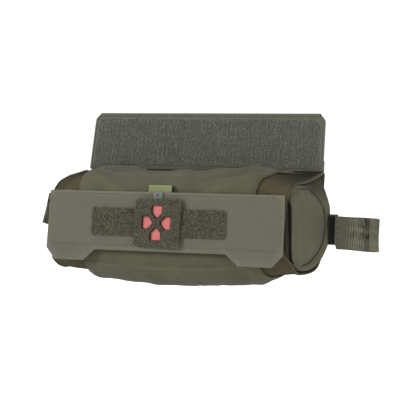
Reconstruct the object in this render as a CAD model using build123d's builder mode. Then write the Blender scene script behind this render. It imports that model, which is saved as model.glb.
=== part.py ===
from build123d import *
import os
from math import cos, sin, radians

# Horizontal roll-type first-aid pouch. A soft sleeve (the carrier) hangs from a hook-tape
# flap; a filled insert slides out of it sideways, pulled by a tab at either end.
# Millimetres. +X to the wearer's left along the roll, +Y towards the wearer, +Z up.
# Origin: centre line of the rear face of the back sheet, at the height of the roll's axis.
# "Front" is -Y. "Left" and "right" are as seen from the front, so left is -X.

# ---------------------------------------------------------------- driving dimensions
W = 250.0            # width of the front panel and of the mount flap
HALF = W / 2
FOLD_Z = 47.5        # fold line of the mount flap, on the rear face
ELASTIC_T = 1.6      # elastic sleeve ends
SLEEVE_HALF = 125.0  # elastic reaches this far each side
INSERT_HALF = 122.0  # half length of the insert tube

FRONT_Y = -76.0      # front face of the front panel, at its middle
BOW = 6.0            # how far the front panel's ends curve back from its middle
LEAN = 3.7           # front panel leans back, degrees
NOTCH_Z = -22.0      # notch line of the front panel, where its lean crosses FRONT_Y

# Sections of the roll: corners as (y, z, fillet radius), from the top of the back over the
# front to the bottom of the back, which runs straight up.
ELASTIC_SECTION = [
    (-2.0, 44.6, 0.6), (-30.0, 40.2, 34.0), (-63.6, 41.3, 15.0),
    (-67.4, -40.2, 24.0), (-2.0, -40.2, 30.0),
]
CENTRE_SECTION = [  # fuller than the ends
    (-2.0, 45.0, 0.6), (-30.0, 43.4, 34.0), (-65.9, 42.6, 15.0),
    (-70.2, -51.2, 26.0), (-2.0, -51.2, 32.0),
]
INSERT_SECTION = [
    (-6.6, 41.4, 8.0), (-30.0, 40.2, 34.0), (-61.0, 41.3, 15.0),
    (-64.8, -40.2, 24.0), (-6.6, -40.2, 26.0),
]

SIDES = ((-1, "left"), (1, "right"))


# ---------------------------------------------------------------- shared helpers
def roll_profile(points, grow):
    """Closed section from filleted corner points, then grown or shrunk."""
    with BuildSketch(Plane.XY) as profile:
        with BuildLine():
            Polyline([(y, z) for y, z, radius in points], close=True)
        make_face()
        for y, z, radius in points:
            corner = profile.vertices().sort_by_distance(Vector(y, z, 0))[0]
            fillet(corner, radius)
        if grow:
            offset(amount=grow, kind=Kind.INTERSECTION)
    return profile.sketch


def prism(x_span, points, outer, inner=None):
    """Straight piece along X: a section grown by outer, hollowed by the one grown by inner."""
    x_low, x_high = x_span
    with BuildPart() as piece:
        with BuildSketch(Plane.YZ.offset(x_low)):
            add(roll_profile(points, outer))
            if inner is not None:
                add(roll_profile(points, inner), mode=Mode.SUBTRACT)
        extrude(amount=x_high - x_low)
    return piece.part


def span(side, near, far):
    """Low and high x of a piece that runs from near to far on one side."""
    return sorted((side * near, side * far))


def symmetric(right):
    """Outline made of its right half and the mirror image of that half in x = 0."""
    return right + [(-x, y) for x, y in reversed(right)]


def leaning_plane(y, z, degrees):
    """Plane facing the front whose top leans back; its own y runs up the lean."""
    lean = radians(degrees)
    return Plane(origin=(0, y, z), x_dir=(1, 0, 0), z_dir=(0, -cos(lean), sin(lean)))


def save(shape, name):
    shape.label = name
    export_step(shape, f"parts/{name}.step")


os.makedirs("parts", exist_ok=True)

# ---------------------------------------------------------------- carrier: back sheet
SHEET_T = 1.6
SHEET_W = W - 4
SHEET_BOTTOM = -36.0
SHEET_CHAMFER = 14   # bottom corners

with BuildPart() as back_sheet:
    with BuildSketch(Plane.XZ):
        with Locations((0, (FOLD_Z + SHEET_BOTTOM) / 2)):
            Rectangle(SHEET_W, FOLD_Z - SHEET_BOTTOM)
    extrude(amount=SHEET_T)
    chamfer(back_sheet.edges().filter_by(Axis.Y).group_by(Axis.Z)[0], SHEET_CHAMFER)
save(back_sheet.part, "back_sheet")

# ---------------------------------------------------------------- carrier: elastic ends
ELASTIC_START = 78.0  # inner edge of each elastic end
BINDING_GAP = 0.05
BINDING_W = 2.4
BINDING_LAP = 0.2     # binding stands proud of the elastic, outside and inside

for side, name in SIDES:
    elastic_span = span(side, ELASTIC_START, SLEEVE_HALF - BINDING_GAP)
    save(prism(elastic_span, ELASTIC_SECTION, 0, -ELASTIC_T), f"elastic_band_{name}")
    binding_span = span(side, SLEEVE_HALF, SLEEVE_HALF + BINDING_W)
    binding = prism(binding_span, ELASTIC_SECTION, BINDING_LAP, -ELASTIC_T - BINDING_LAP)
    save(binding, f"edge_binding_{name}")

# ---------------------------------------------------------------- carrier: centre fabric
# A fuller tube between the elastic ends. Its side edges curve outwards towards the back.
FABRIC_T = 1.2
FABRIC_GAP = 0.3     # between the sections and the fabric's inner face
FABRIC_STATIONS = [  # (x, section)
    (-112.0, ELASTIC_SECTION), (-72.0, CENTRE_SECTION),
    (72.0, CENTRE_SECTION), (112.0, ELASTIC_SECTION),
]
FABRIC_EDGE = [(85, -68), (88, -50), (97, -30), (109, -1.75)]  # right edge in plan, (x, y)
FABRIC_CUT_Y = -80   # front of the plan outline, clear of the fabric
FABRIC_CUT_HALF = 70  # half height of the trimming block

with BuildPart() as centre_fabric:
    for grow, mode in ((FABRIC_T + FABRIC_GAP, Mode.ADD), (FABRIC_GAP, Mode.SUBTRACT)):
        for x, points in FABRIC_STATIONS:
            with BuildSketch(Plane.YZ.offset(x)):
                add(roll_profile(points, grow))
        loft(ruled=True, mode=mode)
    with BuildSketch(Plane.XY.offset(-FABRIC_CUT_HALF)):
        front_x, front_y = FABRIC_EDGE[0]
        back_x, back_y = FABRIC_EDGE[-1]
        with BuildLine():
            Line((-front_x, FABRIC_CUT_Y), (-front_x, front_y))
            Spline([(-x, y) for x, y in FABRIC_EDGE])
            Line((-back_x, back_y), (back_x, back_y))
            Spline(FABRIC_EDGE[::-1])
            Line((front_x, front_y), (front_x, FABRIC_CUT_Y))
            Line((front_x, FABRIC_CUT_Y), (-front_x, FABRIC_CUT_Y))
        make_face()
    extrude(amount=2 * FABRIC_CUT_HALF, mode=Mode.INTERSECT)
save(centre_fabric.part, "centre_fabric")

# ---------------------------------------------------------------- bowed, leaning layers
# Heights on these layers ("up") are measured from the notch line, along the lean.
sweep_plane = Plane(
    origin=(0, FRONT_Y, NOTCH_Z),
    x_dir=(1, 0, 0),
    z_dir=(0, sin(radians(LEAN)), cos(radians(LEAN))),
)
face_plane = leaning_plane(FRONT_Y, NOTCH_Z, LEAN)
SWEEP_BELOW = 14     # the sweep starts this far below the notch line
SWEEP_H = 80
TRIM_DEPTH = 80      # trimming block, half of it either side of the face plane


def bow_points(x_start, x_end, out):
    """Start, middle and end of an arc on the bow, out mm ahead of the panel's front face."""
    return [(x, BOW * (x / HALF) ** 2 - out) for x in (x_start, (x_start + x_end) / 2, x_end)]


def layer(centre_x, width, out, thick, outline):
    """Layer whose front face is out mm ahead of the panel's, trimmed to an (x, up) outline."""
    x_start, x_end = centre_x - width / 2, centre_x + width / 2
    front = bow_points(x_start, x_end, out)
    rear = bow_points(x_start, x_end, out - thick)
    with BuildPart() as piece:
        with BuildSketch(sweep_plane.offset(-SWEEP_BELOW)):
            with BuildLine():
                ThreePointArc(*front)
                Line(front[2], rear[2])
                ThreePointArc(*rear[::-1])
                Line(rear[0], front[0])
            make_face()
        extrude(amount=SWEEP_H)
        with BuildSketch(face_plane.offset(-TRIM_DEPTH / 2)):
            add(outline)
        extrude(amount=TRIM_DEPTH, mode=Mode.INTERSECT)
    return piece.part


# ---------------------------------------------------------------- carrier: front panel
PANEL_T = 1.5
PANEL_TOP = 30.0 - NOTCH_Z
PANEL_BOTTOM = -32.2 - NOTCH_Z
PANEL_RIGHT = [      # right half of the outline as (x, up), with a leg beside the notch
    (HALF, PANEL_TOP), (HALF, 0.4), (114.5, PANEL_BOTTOM), (82, PANEL_BOTTOM), (69.2, 0),
]

with BuildSketch() as panel_outline:
    with BuildLine():
        Polyline(symmetric(PANEL_RIGHT), close=True)
    make_face()
save(layer(0, W, 0, PANEL_T, panel_outline.sketch), "front_panel")

# ---------------------------------------------------------------- carrier: loop field
TAPE_H = 25.4
LOOP_W = 142.6
LOOP_X = -2.0
LOOP_UP = 3.6 - NOTCH_Z  # centre height of the loop field and of the patch
LOOP_RADIUS = 3
TRIM_MARGIN = 1      # a layer is swept this much past each end of its outline


def rounded_outline(centre_x, width, height, radius):
    """Rounded rectangle at the height of the loop field."""
    with BuildSketch() as outline:
        with Locations((centre_x, LOOP_UP)):
            RectangleRounded(width, height, radius)
    return outline.sketch


loop_outline = rounded_outline(LOOP_X, LOOP_W, TAPE_H, LOOP_RADIUS)
save(layer(LOOP_X, LOOP_W + 2 * TRIM_MARGIN, 1.85, 1.8, loop_outline), "loop_field")

# ---------------------------------------------------------------- removable marker patch
# Three layers; four windows in the front one make a cross.
PATCH_X, PATCH_W, PATCH_H = 1.4, 48.0, 41.6
PATCH_RADIUS = 2.5
CROSS_X = -0.4
WINDOW_W = 11.2
WINDOW_INNER, WINDOW_OUTER = 4.2, 15.2  # reach from the centre of the cross
WINDOW_CHAMFER = 4.5


def window(angle):
    """One window of the marker: a plain block with its two inner corners cut back."""
    with BuildSketch() as opening:
        with Locations((CROSS_X, LOOP_UP)):
            with Locations(Location((0, 0, 0), (0, 0, angle))):
                with Locations(((WINDOW_INNER + WINDOW_OUTER) / 2, 0)):
                    Rectangle(WINDOW_OUTER - WINDOW_INNER, WINDOW_W)
        corners = opening.vertices().sort_by_distance(Vector(CROSS_X, LOOP_UP, 0))
        chamfer(corners[0:2], WINDOW_CHAMFER)
    return opening.sketch


def patch_outline(inset):
    return rounded_outline(PATCH_X, PATCH_W - 2 * inset, PATCH_H - 2 * inset, PATCH_RADIUS)


with BuildSketch() as face_outline:
    add(patch_outline(0))
    for angle in (0, 90, 180, 270):
        add(window(angle), mode=Mode.SUBTRACT)

PATCH_LAYERS = [     # (name, front face ahead of the panel's, thickness, outline)
    ("patch_hook_backing", 2.45, 0.5, patch_outline(0.8)),
    ("patch_red_layer", 2.85, 0.35, patch_outline(3.0)),
    ("patch_face", 5.1, 2.2, face_outline.sketch),
]
for name, out, thick, outline in PATCH_LAYERS:
    save(layer(PATCH_X, PATCH_W + 2 * TRIM_MARGIN, out, thick, outline), name)

# ---------------------------------------------------------------- label and keeper
# The label stands up from behind the panel's top edge; the keeper is in front of the panel.
LABEL_X, LABEL_UP = 0.2, PANEL_TOP + 0.4
LABEL_W, LABEL_H, LABEL_T, LABEL_RADIUS = 27.2, 11.0, 1.2, 0.8
LABEL_BEHIND = 2.9   # rear face of the label behind the face plane
KEEPER_X, KEEPER_UP = -1.0, PANEL_TOP - 1.7
KEEPER_W, KEEPER_H, KEEPER_T, KEEPER_RADIUS = 9.4, 6.6, 3.0, 0.9
KEEPER_GAP = 0.08
KEEPER_HOLE_R = 0.8

with BuildPart() as side_label:
    with BuildSketch(face_plane.offset(-LABEL_BEHIND)):
        with Locations((LABEL_X, LABEL_UP)):
            RectangleRounded(LABEL_W, LABEL_H, LABEL_RADIUS)
    extrude(amount=LABEL_T)
save(side_label.part, "side_label")

with BuildPart() as keeper:
    with BuildSketch(face_plane.offset(KEEPER_GAP)):
        with Locations((KEEPER_X, KEEPER_UP)):
            RectangleRounded(KEEPER_W, KEEPER_H, KEEPER_RADIUS)
            Circle(KEEPER_HOLE_R, mode=Mode.SUBTRACT)
    extrude(amount=KEEPER_T)
save(keeper.part, "label_keeper")

# ---------------------------------------------------------------- mount flap
# Leans back about the fold line and narrows slightly towards the top.
FLAP_LEAN = 5.7      # degrees
FLAP_H = 51.9        # from the fold line
FLAP_TAPER = 1.9     # each side
MIN_RISE = 0.01      # keeps the bottom corner points apart where no corner is cut
FLAP_LAYERS = [      # (name, rear face, thickness, inset, bottom, top and bottom corner cuts)
    ("mount_back_sheet", 0, 1.2, 0, 2.1, 5.5, 0.0),
    ("mount_stiffener", 1.25, 1.0, 5, 6, 4, 3.0),
    ("mount_face_sheet", 2.3, 1.0, 0.6, 2.4, 5.5, 3.2),
    ("hook_field", 3.35, 1.8, 3.4, 5.0, 4.5, 3.0),
]
flap_plane = leaning_plane(0, FOLD_Z, FLAP_LEAN)

for name, rear, thick, inset, bottom, top_cut, bottom_cut in FLAP_LAYERS:
    half_bottom = HALF - inset
    half_top = HALF - FLAP_TAPER - inset
    top = FLAP_H - inset
    right_half = [
        (half_bottom - bottom_cut, bottom),
        (half_bottom, bottom + max(bottom_cut, MIN_RISE)),
        (half_top, top - top_cut),
        (half_top - top_cut, top),
    ]
    with BuildPart() as flap_layer:
        with BuildSketch(flap_plane.offset(rear)):
            with BuildLine():
                Polyline(symmetric(right_half), close=True)
            make_face()
        extrude(amount=thick)
    save(flap_layer.part, name)

# ---------------------------------------------------------------- insert: filled roll
INSERT_GROW = -ELASTIC_T - 1.0  # insert's outer line inside the sleeve
SHELL_T = 1.6
PADDING_T = 2.0
LAYER_GAP = 0.1
FILLING_SHORT = 1    # filling stops this far inside each end of the tube

tube_span = span(1, -INSERT_HALF, INSERT_HALF)
shell_inner = INSERT_GROW - SHELL_T
padding_outer = shell_inner - LAYER_GAP
padding_inner = padding_outer - PADDING_T
save(prism(tube_span, INSERT_SECTION, INSERT_GROW, shell_inner), "insert_shell")
save(prism(tube_span, INSERT_SECTION, padding_outer, padding_inner), "insert_padding")

# the back of the filling is cut away to leave room for the organiser
RECESS_DEPTH, RECESS_T = 8.0, 8.0  # start of the cut in front of the origin, and its depth
filling_half = INSERT_HALF - FILLING_SHORT
with BuildPart() as filling:
    add(prism((-filling_half, filling_half), INSERT_SECTION, padding_inner - LAYER_GAP))
    with BuildSketch(Plane.XZ.offset(RECESS_DEPTH)):
        Rectangle(2 * INSERT_HALF + 10, 90)
    extrude(amount=RECESS_T, mode=Mode.SUBTRACT)
save(filling.part, "packed_filling")

# ---------------------------------------------------------------- insert: organiser
ORGANISER_DEPTH = 13.2  # its rear face, in front of the origin
ORGANISER_T = 1.0
ORGANISER_W, ORGANISER_H, ORGANISER_Z = 216, 40, 7
ORGANISER_RADIUS = 5
LOOP_COUNT, LOOP_PITCH = 5, 42
ELASTIC_LOOP_W, ELASTIC_LOOP_H, ELASTIC_LOOP_T = 24, 36, 1.6

with BuildPart() as organiser:
    with BuildSketch(Plane.XZ.offset(ORGANISER_DEPTH)):
        with Locations((0, ORGANISER_Z)):
            Rectangle(ORGANISER_W, ORGANISER_H)
    extrude(amount=ORGANISER_T)
    fillet(organiser.edges().filter_by(Axis.Y), ORGANISER_RADIUS)
save(organiser.part, "organiser_panel")

with BuildPart() as elastic_loops:
    with BuildSketch(Plane.XZ.offset(ORGANISER_DEPTH + ORGANISER_T + LAYER_GAP)):
        with Locations((0, ORGANISER_Z)):
            with GridLocations(LOOP_PITCH, 0, LOOP_COUNT, 1):
                Rectangle(ELASTIC_LOOP_W, ELASTIC_LOOP_H)
    extrude(amount=ELASTIC_LOOP_T)
save(elastic_loops.part, "organiser_elastic_loops")

# ---------------------------------------------------------------- insert: long closure
# A flap over hook tape and loop tape on the insert's front wall, under the sleeve.
CLOSURE_Y = -60.36   # at the height of the roll's axis
CLOSURE_LEAN = 2.67  # degrees
CLOSURE_RADIUS = 2
CLOSURE_STRIPS = [   # (name, rear face, thickness, width, height, centre up the lean)
    ("closure_loop_tape", 0.05, 0.75, 214, 25, -4),
    ("closure_hook_tape", 0.85, 0.75, 214, 25, -4),
    ("closure_flap", 1.65, 0.9, 226, 48, 7),
]
closure_plane = leaning_plane(CLOSURE_Y, 0, CLOSURE_LEAN)

for name, rear, thick, width, height, up in CLOSURE_STRIPS:
    with BuildPart() as strip:
        with BuildSketch(closure_plane.offset(rear)):
            with Locations((0, up)):
                RectangleRounded(width, height, CLOSURE_RADIUS)
        extrude(amount=thick)
    save(strip.part, name)

# ---------------------------------------------------------------- insert: ends
# A gusset closes the tube, and a pillow-shaped end flap covers it.
GUSSET_NEAR, GUSSET_FAR = INSERT_HALF + 0.1, INSERT_HALF + 1.7
END_FLAP_NEAR, END_FLAP_FAR = INSERT_HALF + 1.8, INSERT_HALF + 7.0
END_FLAP_INSET = 0.6
END_FLAP_RADIUS = 4.0
END_CUT_Y = -70      # middle of the block that cuts the end flap's front off straight
END_CUT_X_SIZE, END_CUT_Y_SIZE, END_CUT_H = 20, 24, 120

for side, name in SIDES:
    gusset = prism(span(side, GUSSET_NEAR, GUSSET_FAR), INSERT_SECTION, INSERT_GROW)
    save(gusset, f"end_gusset_{name}")
    flap_span = span(side, END_FLAP_NEAR, END_FLAP_FAR)
    with BuildPart() as end_flap:
        add(prism(flap_span, INSERT_SECTION, INSERT_GROW - END_FLAP_INSET))
        with BuildSketch(Plane.XY.offset(-END_CUT_H / 2)):
            with Locations((sum(flap_span) / 2, END_CUT_Y)):
                Rectangle(END_CUT_X_SIZE, END_CUT_Y_SIZE)
        extrude(amount=END_CUT_H, mode=Mode.SUBTRACT)
        end_faces = end_flap.faces().filter_by(Axis.X).sort_by(Axis.X)
        rim = end_faces[-1 if side > 0 else 0]
        fillet(rim.edges(), END_FLAP_RADIUS)
    save(end_flap.part, f"end_flap_{name}")

# ---------------------------------------------------------------- strap and pull tabs
# One strap along the back of the insert carries both tabs.
TAB_W = 28.0         # pull tab webbing width
TAB_Z = -4.0         # centre height of the strap and the right tab
STRAP_DEPTH = 7.4    # strap's rear face, in front of the origin
STRAP_T = 1.6
GRIP_GAP = 0.1       # between the strap and the webbing folded round it
GRIP_T = 1.5
LEFT_TILT = 16.1     # left tab points out and up, degrees
LEFT_X, LEFT_Z = -131.0, 0.6  # point it tilts about, where it leaves the roll


def strap_piece(place, length, height=TAB_W - 1, depth=STRAP_DEPTH, thick=STRAP_T):
    """Flat rectangle facing the front, centred at a place in (x, z)."""
    with BuildPart() as piece:
        with BuildSketch(Plane.XZ.offset(depth)):
            with Locations(place):
                Rectangle(length, height)
        extrude(amount=thick)
    return piece.part


def grip(x_open, x_fold, centre_z):
    """Webbing folded round the strap end: a U in plan, open towards the roll."""
    side = 1 if x_fold > x_open else -1
    inner = STRAP_T / 2 + GRIP_GAP
    outer = inner + GRIP_T
    x_bend = x_fold - side * outer
    y = -(STRAP_DEPTH + STRAP_T / 2)
    with BuildPart() as piece:
        with BuildSketch(Plane.XY.offset(centre_z - TAB_W / 2)):
            with BuildLine():
                Line((x_open, y - outer), (x_bend, y - outer))
                ThreePointArc((x_bend, y - outer), (x_fold, y), (x_bend, y + outer))
                Polyline([(x_bend, y + outer), (x_open, y + outer),
                          (x_open, y + inner), (x_bend, y + inner)])
                ThreePointArc((x_bend, y + inner), (x_bend + side * inner, y),
                              (x_bend, y - inner))
                Polyline([(x_bend, y - inner), (x_open, y - inner), (x_open, y - outer)])
            make_face()
        extrude(amount=TAB_W)
    return piece.part


save(strap_piece((0.1, TAB_Z), length=260.0), "carry_strap")

# right tab: strap end, hook patch on its front, folded webbing grip
save(strap_piece((156.5, TAB_Z), length=51.4), "tab_strap_right")
hook_patch = strap_piece((138.4, TAB_Z), length=9.8, height=TAB_W - 2,
                         depth=STRAP_DEPTH + STRAP_T + 0.05, thick=1.0)
save(hook_patch, "tab_hook_patch_right")
save(grip(x_open=143.6, x_fold=184.6, centre_z=TAB_Z), "pull_tab_right")

# left tab: a strap end and grip, tilted
left_place = Location((LEFT_X, LEFT_Z, 0), (0, 0, -LEFT_TILT)) * Location((-19.7, 0, 0))
save(strap_piece(left_place, length=32.0), "tab_strap_left")
tilt_axis = Axis((LEFT_X, 0, LEFT_Z), (0, 1, 0))
with BuildPart() as grip_left:
    add(grip(x_open=-137.2, x_fold=-169.4, centre_z=LEFT_Z).rotate(tilt_axis, LEFT_TILT))
save(grip_left.part, "pull_tab_left")
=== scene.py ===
"""Padded cloth sleeve with an insert whose webbing pull tabs stand out of both ends.

X runs along the sleeve, +X to the right, -Y is the front and +Z is up. A leaning front panel
carries a loop strip with a marker. An upright flap covered in hook tape folds up from the back
sheet. Pieces are worked out in mm and turned into metres when their meshes are made.
"""
import math
from functools import cached_property

import bmesh
import bpy
import numpy as np
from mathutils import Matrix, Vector, geometry, noise


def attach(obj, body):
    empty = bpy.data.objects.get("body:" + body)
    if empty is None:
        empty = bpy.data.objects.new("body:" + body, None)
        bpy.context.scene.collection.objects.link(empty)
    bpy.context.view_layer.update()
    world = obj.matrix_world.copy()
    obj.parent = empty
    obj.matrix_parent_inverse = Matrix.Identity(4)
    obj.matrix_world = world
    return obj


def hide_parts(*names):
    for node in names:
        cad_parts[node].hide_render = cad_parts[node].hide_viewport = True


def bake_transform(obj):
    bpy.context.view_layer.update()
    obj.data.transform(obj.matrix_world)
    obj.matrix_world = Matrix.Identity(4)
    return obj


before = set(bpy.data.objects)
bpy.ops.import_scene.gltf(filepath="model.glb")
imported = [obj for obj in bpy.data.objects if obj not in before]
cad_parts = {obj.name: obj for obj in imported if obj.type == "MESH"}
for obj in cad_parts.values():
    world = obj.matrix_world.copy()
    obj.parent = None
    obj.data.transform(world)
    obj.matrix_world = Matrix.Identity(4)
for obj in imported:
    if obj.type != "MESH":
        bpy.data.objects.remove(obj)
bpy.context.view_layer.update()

# ---------------------------------------------------------------- driving dimensions, mm
TURN = 2 * math.pi
SIDES = ((1, "right"), (-1, "left"))
HALF_WIDTH = 125.0

# front panel: heights are measured up the panel from its notch line
PANEL_Y, PANEL_Z = -76.0, -22.0
PANEL_LEAN = math.radians(3.7)
PANEL_BOW = 6.0
PANEL_THICK = 1.5
PANEL_TOP, PANEL_BOTTOM = 52.0, -10.2

# loop strip on the panel and the marker on the strip
STRIP_X, STRIP_UP = -2.0, 25.6
STRIP_HALF, STRIP_HEIGHT = 71.3, 25.4
MARKER_LEFT, MARKER_RIGHT, MARKER_HALF = -22.6, 25.4, 20.8

# upright flap, folded up from the back sheet
FOLD_Z = 47.5
FLAP_LEAN = math.radians(5.7)
FLAP_HEIGHT = 51.9
FLAP_THICK = 3.3

TAB_Y = -8.2


# ---------------------------------------------------------------- numbers and lines
def clamp(value):
    return np.clip(value, 0, 1)


def smooth(value):
    return value * value * (3 - 2 * value)


def bell(offset, width):
    return np.exp(-(offset / width) ** 2)


def unit(vectors):
    return vectors / np.maximum(np.linalg.norm(vectors, axis=-1, keepdims=True), 1e-9)


def grid(*axes):
    """Coordinates that broadcast together, stacked on a last axis."""
    return np.stack(np.broadcast_arrays(*axes), -1)


def with_x(x, section):
    """3D points from x and (y, z) points."""
    return grid(x, section[..., 0], section[..., 1])


def look_up(table, at):
    return np.interp(at, *zip(*table))


def closed(line):
    return np.vstack([line, line[:1]])


def arc_length(line):
    return np.r_[0, np.cumsum(np.linalg.norm(np.diff(line, axis=0), axis=1))]


def sample(line, lengths, at):
    return np.stack([np.interp(at, lengths, column) for column in np.transpose(line)], -1)


def resample(line, step, loop=False):
    """Even points about step apart; a loop leaves out its repeated last point."""
    line = np.asarray(line, float)
    if loop:
        line = closed(line)
    lengths = arc_length(line)
    count = max(2, int(round(lengths[-1] / step)) + 1)
    points = sample(line, lengths, np.linspace(0, lengths[-1], count))
    return points[:-1] if loop else points


def smooth_noise(points, scale, seed, octaves=2):
    """Smooth noise at 2D or 3D mm points, about -1 to 1."""
    offset = Vector((seed * 17.3, seed * -9.1, seed * 5.7))
    return np.array([noise.fractal(Vector((*point, 0.0)[:3]) / scale + offset, 1.0, 2.0, octaves)
                     for point in points])


# ---------------------------------------------------------------- closed 2D outlines
def densify(outline, step):
    """Keep the corners and cut the edges to about step."""
    points = []
    for start, end in zip(outline, np.roll(outline, -1, 0)):
        count = max(1, int(math.ceil(np.linalg.norm(end - start) / step)))
        points += [start + (end - start) * i / count for i in range(count)]
    return np.array(points)


def rounded(outline, radii, arc=5):
    """Round the corners of a counter-clockwise outline, with arc segments to a quarter turn."""
    outline = np.asarray(outline, float)
    radii = np.broadcast_to(radii, len(outline))
    points = []
    for i, (corner, radius) in enumerate(zip(outline, radii)):
        before, after = outline[i - 1], outline[(i + 1) % len(outline)]
        back = (before - corner) / np.linalg.norm(before - corner)
        ahead = (after - corner) / np.linalg.norm(after - corner)
        half = math.acos(np.clip(back @ ahead, -1, 1)) / 2
        reach = radius / math.tan(half)
        toward = (back + ahead) / np.linalg.norm(back + ahead)
        centre = corner + toward * (radius / math.sin(half))
        first = corner + back * reach - centre
        last = corner + ahead * reach - centre
        start = math.atan2(first[1], first[0])
        sweep_angle = math.atan2(last[1], last[0]) - start
        sweep_angle = (sweep_angle + math.pi) % TURN - math.pi
        count = max(2, int(abs(sweep_angle) / (math.pi / 2) * arc) + 1)
        for j in range(count + 1):
            angle = start + sweep_angle * j / count
            points.append(centre + radius * np.array([math.cos(angle), math.sin(angle)]))
    return np.array(points)


def rect(left, right, bottom, top):
    return np.array([(left, bottom), (right, bottom), (right, top), (left, top)], float)


def ellipse(radius_x, radius_y, count):
    angles = np.linspace(0, TURN, count, endpoint=False)
    return np.stack([radius_x * np.cos(angles), radius_y * np.sin(angles)], 1)


def inset(outline, distance):
    """Move a counter-clockwise outline inwards."""
    before = outline - np.roll(outline, 1, 0)
    after = np.roll(outline, -1, 0) - outline
    normal = unit(np.stack([-before[:, 1], before[:, 0]], 1))
    mitre = unit(normal + unit(np.stack([-after[:, 1], after[:, 0]], 1)))
    spread = np.clip((mitre * normal).sum(1), 0.45, 1)
    return outline + mitre * (distance / spread)[:, None]


def inside(points, outline):
    x, y = points[:, 0], points[:, 1]
    result = np.zeros(len(points), bool)
    for (x0, y0), (x1, y1) in zip(outline, np.roll(outline, -1, 0)):
        crossing = (x1 - x0) * (y - y0) / ((y1 - y0) or 1e-12) + x0
        result ^= ((y0 > y) != (y1 > y)) & (x < crossing)
    return result


def dist_to(points, outline):
    best = np.full(len(points), 1e9)
    for start, end in zip(outline, np.roll(outline, -1, 0)):
        edge = end - start
        along = clamp(((points - start) @ edge) / max(edge @ edge, 1e-12))
        gap = np.linalg.norm(points - (start + along[:, None] * edge), axis=1)
        best = np.minimum(best, gap)
    return best


# ---------------------------------------------------------------- meshes
def make(name, verts, faces, weave):
    """Object from mm vertices. weave is each vertex's 2D cloth coordinate, in attribute st."""
    mesh = bpy.data.meshes.new(name)
    mesh.from_pydata([tuple(v) for v in (np.asarray(verts, float) * 0.001)], [],
                     [tuple(int(i) for i in face) for face in faces])
    mesh.update()
    attribute = mesh.attributes.new("st", "FLOAT_VECTOR", "POINT")
    weave = np.asarray(weave, np.float32)
    weave = np.hstack([weave, np.zeros((len(weave), 1), np.float32)])
    attribute.data.foreach_set("vector", weave.ravel())
    obj = bpy.data.objects.new(name, mesh)
    bpy.context.scene.collection.objects.link(obj)
    for polygon in mesh.polygons:
        polygon.use_smooth = True
    return obj


def fix_normals(obj):
    mesh = bmesh.new()
    mesh.from_mesh(obj.data)
    bmesh.ops.recalc_face_normals(mesh, faces=mesh.faces)
    mesh.to_mesh(obj.data)
    mesh.free()
    return obj


def grid_faces(rows, cols, wrap=False, flip=False, base=0):
    faces = []
    for i in range(rows - 1):
        this, following = base + i * cols, base + (i + 1) * cols
        for j in range(cols if wrap else cols - 1):
            k = (j + 1) % cols
            face = (this + j, following + j, following + k, this + k)
            faces.append(face[::-1] if flip else face)
    return faces


def tube_faces(rings, sides, base=0, flip_caps=False):
    """Sides and both end caps of a tube."""
    last = base + (rings - 1) * sides
    caps = [tuple(range(base, base + sides)), tuple(range(last, last + sides))[::-1]]
    if flip_caps:
        caps = [cap[::-1] for cap in caps]
    return grid_faces(rings, sides, wrap=True, base=base) + caps


def tube_verts(centres, across, up, radii, angles):
    """A ring of vertices round each centre."""
    ring = across[..., None, :] * np.cos(angles)[:, None]
    ring = ring + up[..., None, :] * np.sin(angles)[:, None]
    return (centres[:, None] + ring * np.reshape(radii, (-1, 1, 1))).reshape(-1, 3)


def grid_normals(points, wrap=False):
    down = np.gradient(points, axis=0)
    if wrap:
        across = np.roll(points, -1, 1) - np.roll(points, 1, 1)
    else:
        across = np.gradient(points, axis=1)
    return unit(np.cross(down, across))


def sheet(name, outer, thick, weave, wrap=False, flip=False):
    """Cloth with thickness: outer is its (rows, cols, 3) face, the inner one lies behind the
    normal. A middle rim makes each open edge round."""
    rows, cols, _ = outer.shape
    normals = grid_normals(outer, wrap) * (-1 if flip else 1)
    middle = outer - normals * thick / 2
    rim_reach = thick * 0.45

    def rim(edge, beside):
        return middle[edge] + unit(outer[edge] - outer[beside]) * rim_reach

    verts = [outer.reshape(-1, 3), (outer - normals * thick).reshape(-1, 3), rim(0, 1), rim(-1, -2)]
    weaves = [weave.reshape(-1, 2), weave.reshape(-1, 2), weave[0], weave[-1]]
    size = rows * cols
    last = size - cols
    faces = grid_faces(rows, cols, wrap, flip)
    faces += grid_faces(rows, cols, wrap, not flip, base=size)

    def hem(start, end, rim_start, rim_end):
        for face in ((start, end, rim_end, rim_start),
                     (rim_start, rim_end, size + end, size + start)):
            faces.append(face[::-1] if flip else face)

    rim0 = 2 * size
    rim1 = rim0 + cols
    for j in range(cols if wrap else cols - 1):
        k = (j + 1) % cols
        hem(j, k, rim0 + j, rim0 + k)
        hem(last + k, last + j, rim1 + k, rim1 + j)
    if not wrap:
        side0 = rim1 + cols
        side1 = side0 + rows
        verts += [rim(np.s_[:, 0], np.s_[:, 1]), rim(np.s_[:, -1], np.s_[:, -2])]
        weaves += [weave[:, 0], weave[:, -1]]
        for i in range(rows - 1):
            this, following = i * cols, (i + 1) * cols
            hem(following, this, side0 + i + 1, side0 + i)
            hem(this + cols - 1, following + cols - 1, side1 + i, side1 + i + 1)
        for corner, end_rim, side_rim in (
                (0, rim0, side0), (cols - 1, rim0 + cols - 1, side1),
                (last, rim1, side1 - 1), (size - 1, rim1 + cols - 1, side1 + rows - 1)):
            faces += [(corner, end_rim, side_rim), (end_rim, size + corner, side_rim)]
    return fix_normals(make(name, np.vstack(verts), faces, np.vstack(weaves)))


def place(surface, points, height):
    """Put 2D points on a surface(x, y, out), at one height or one for each point."""
    return surface(points[:, 0], points[:, 1], np.full(len(points), height))


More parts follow.
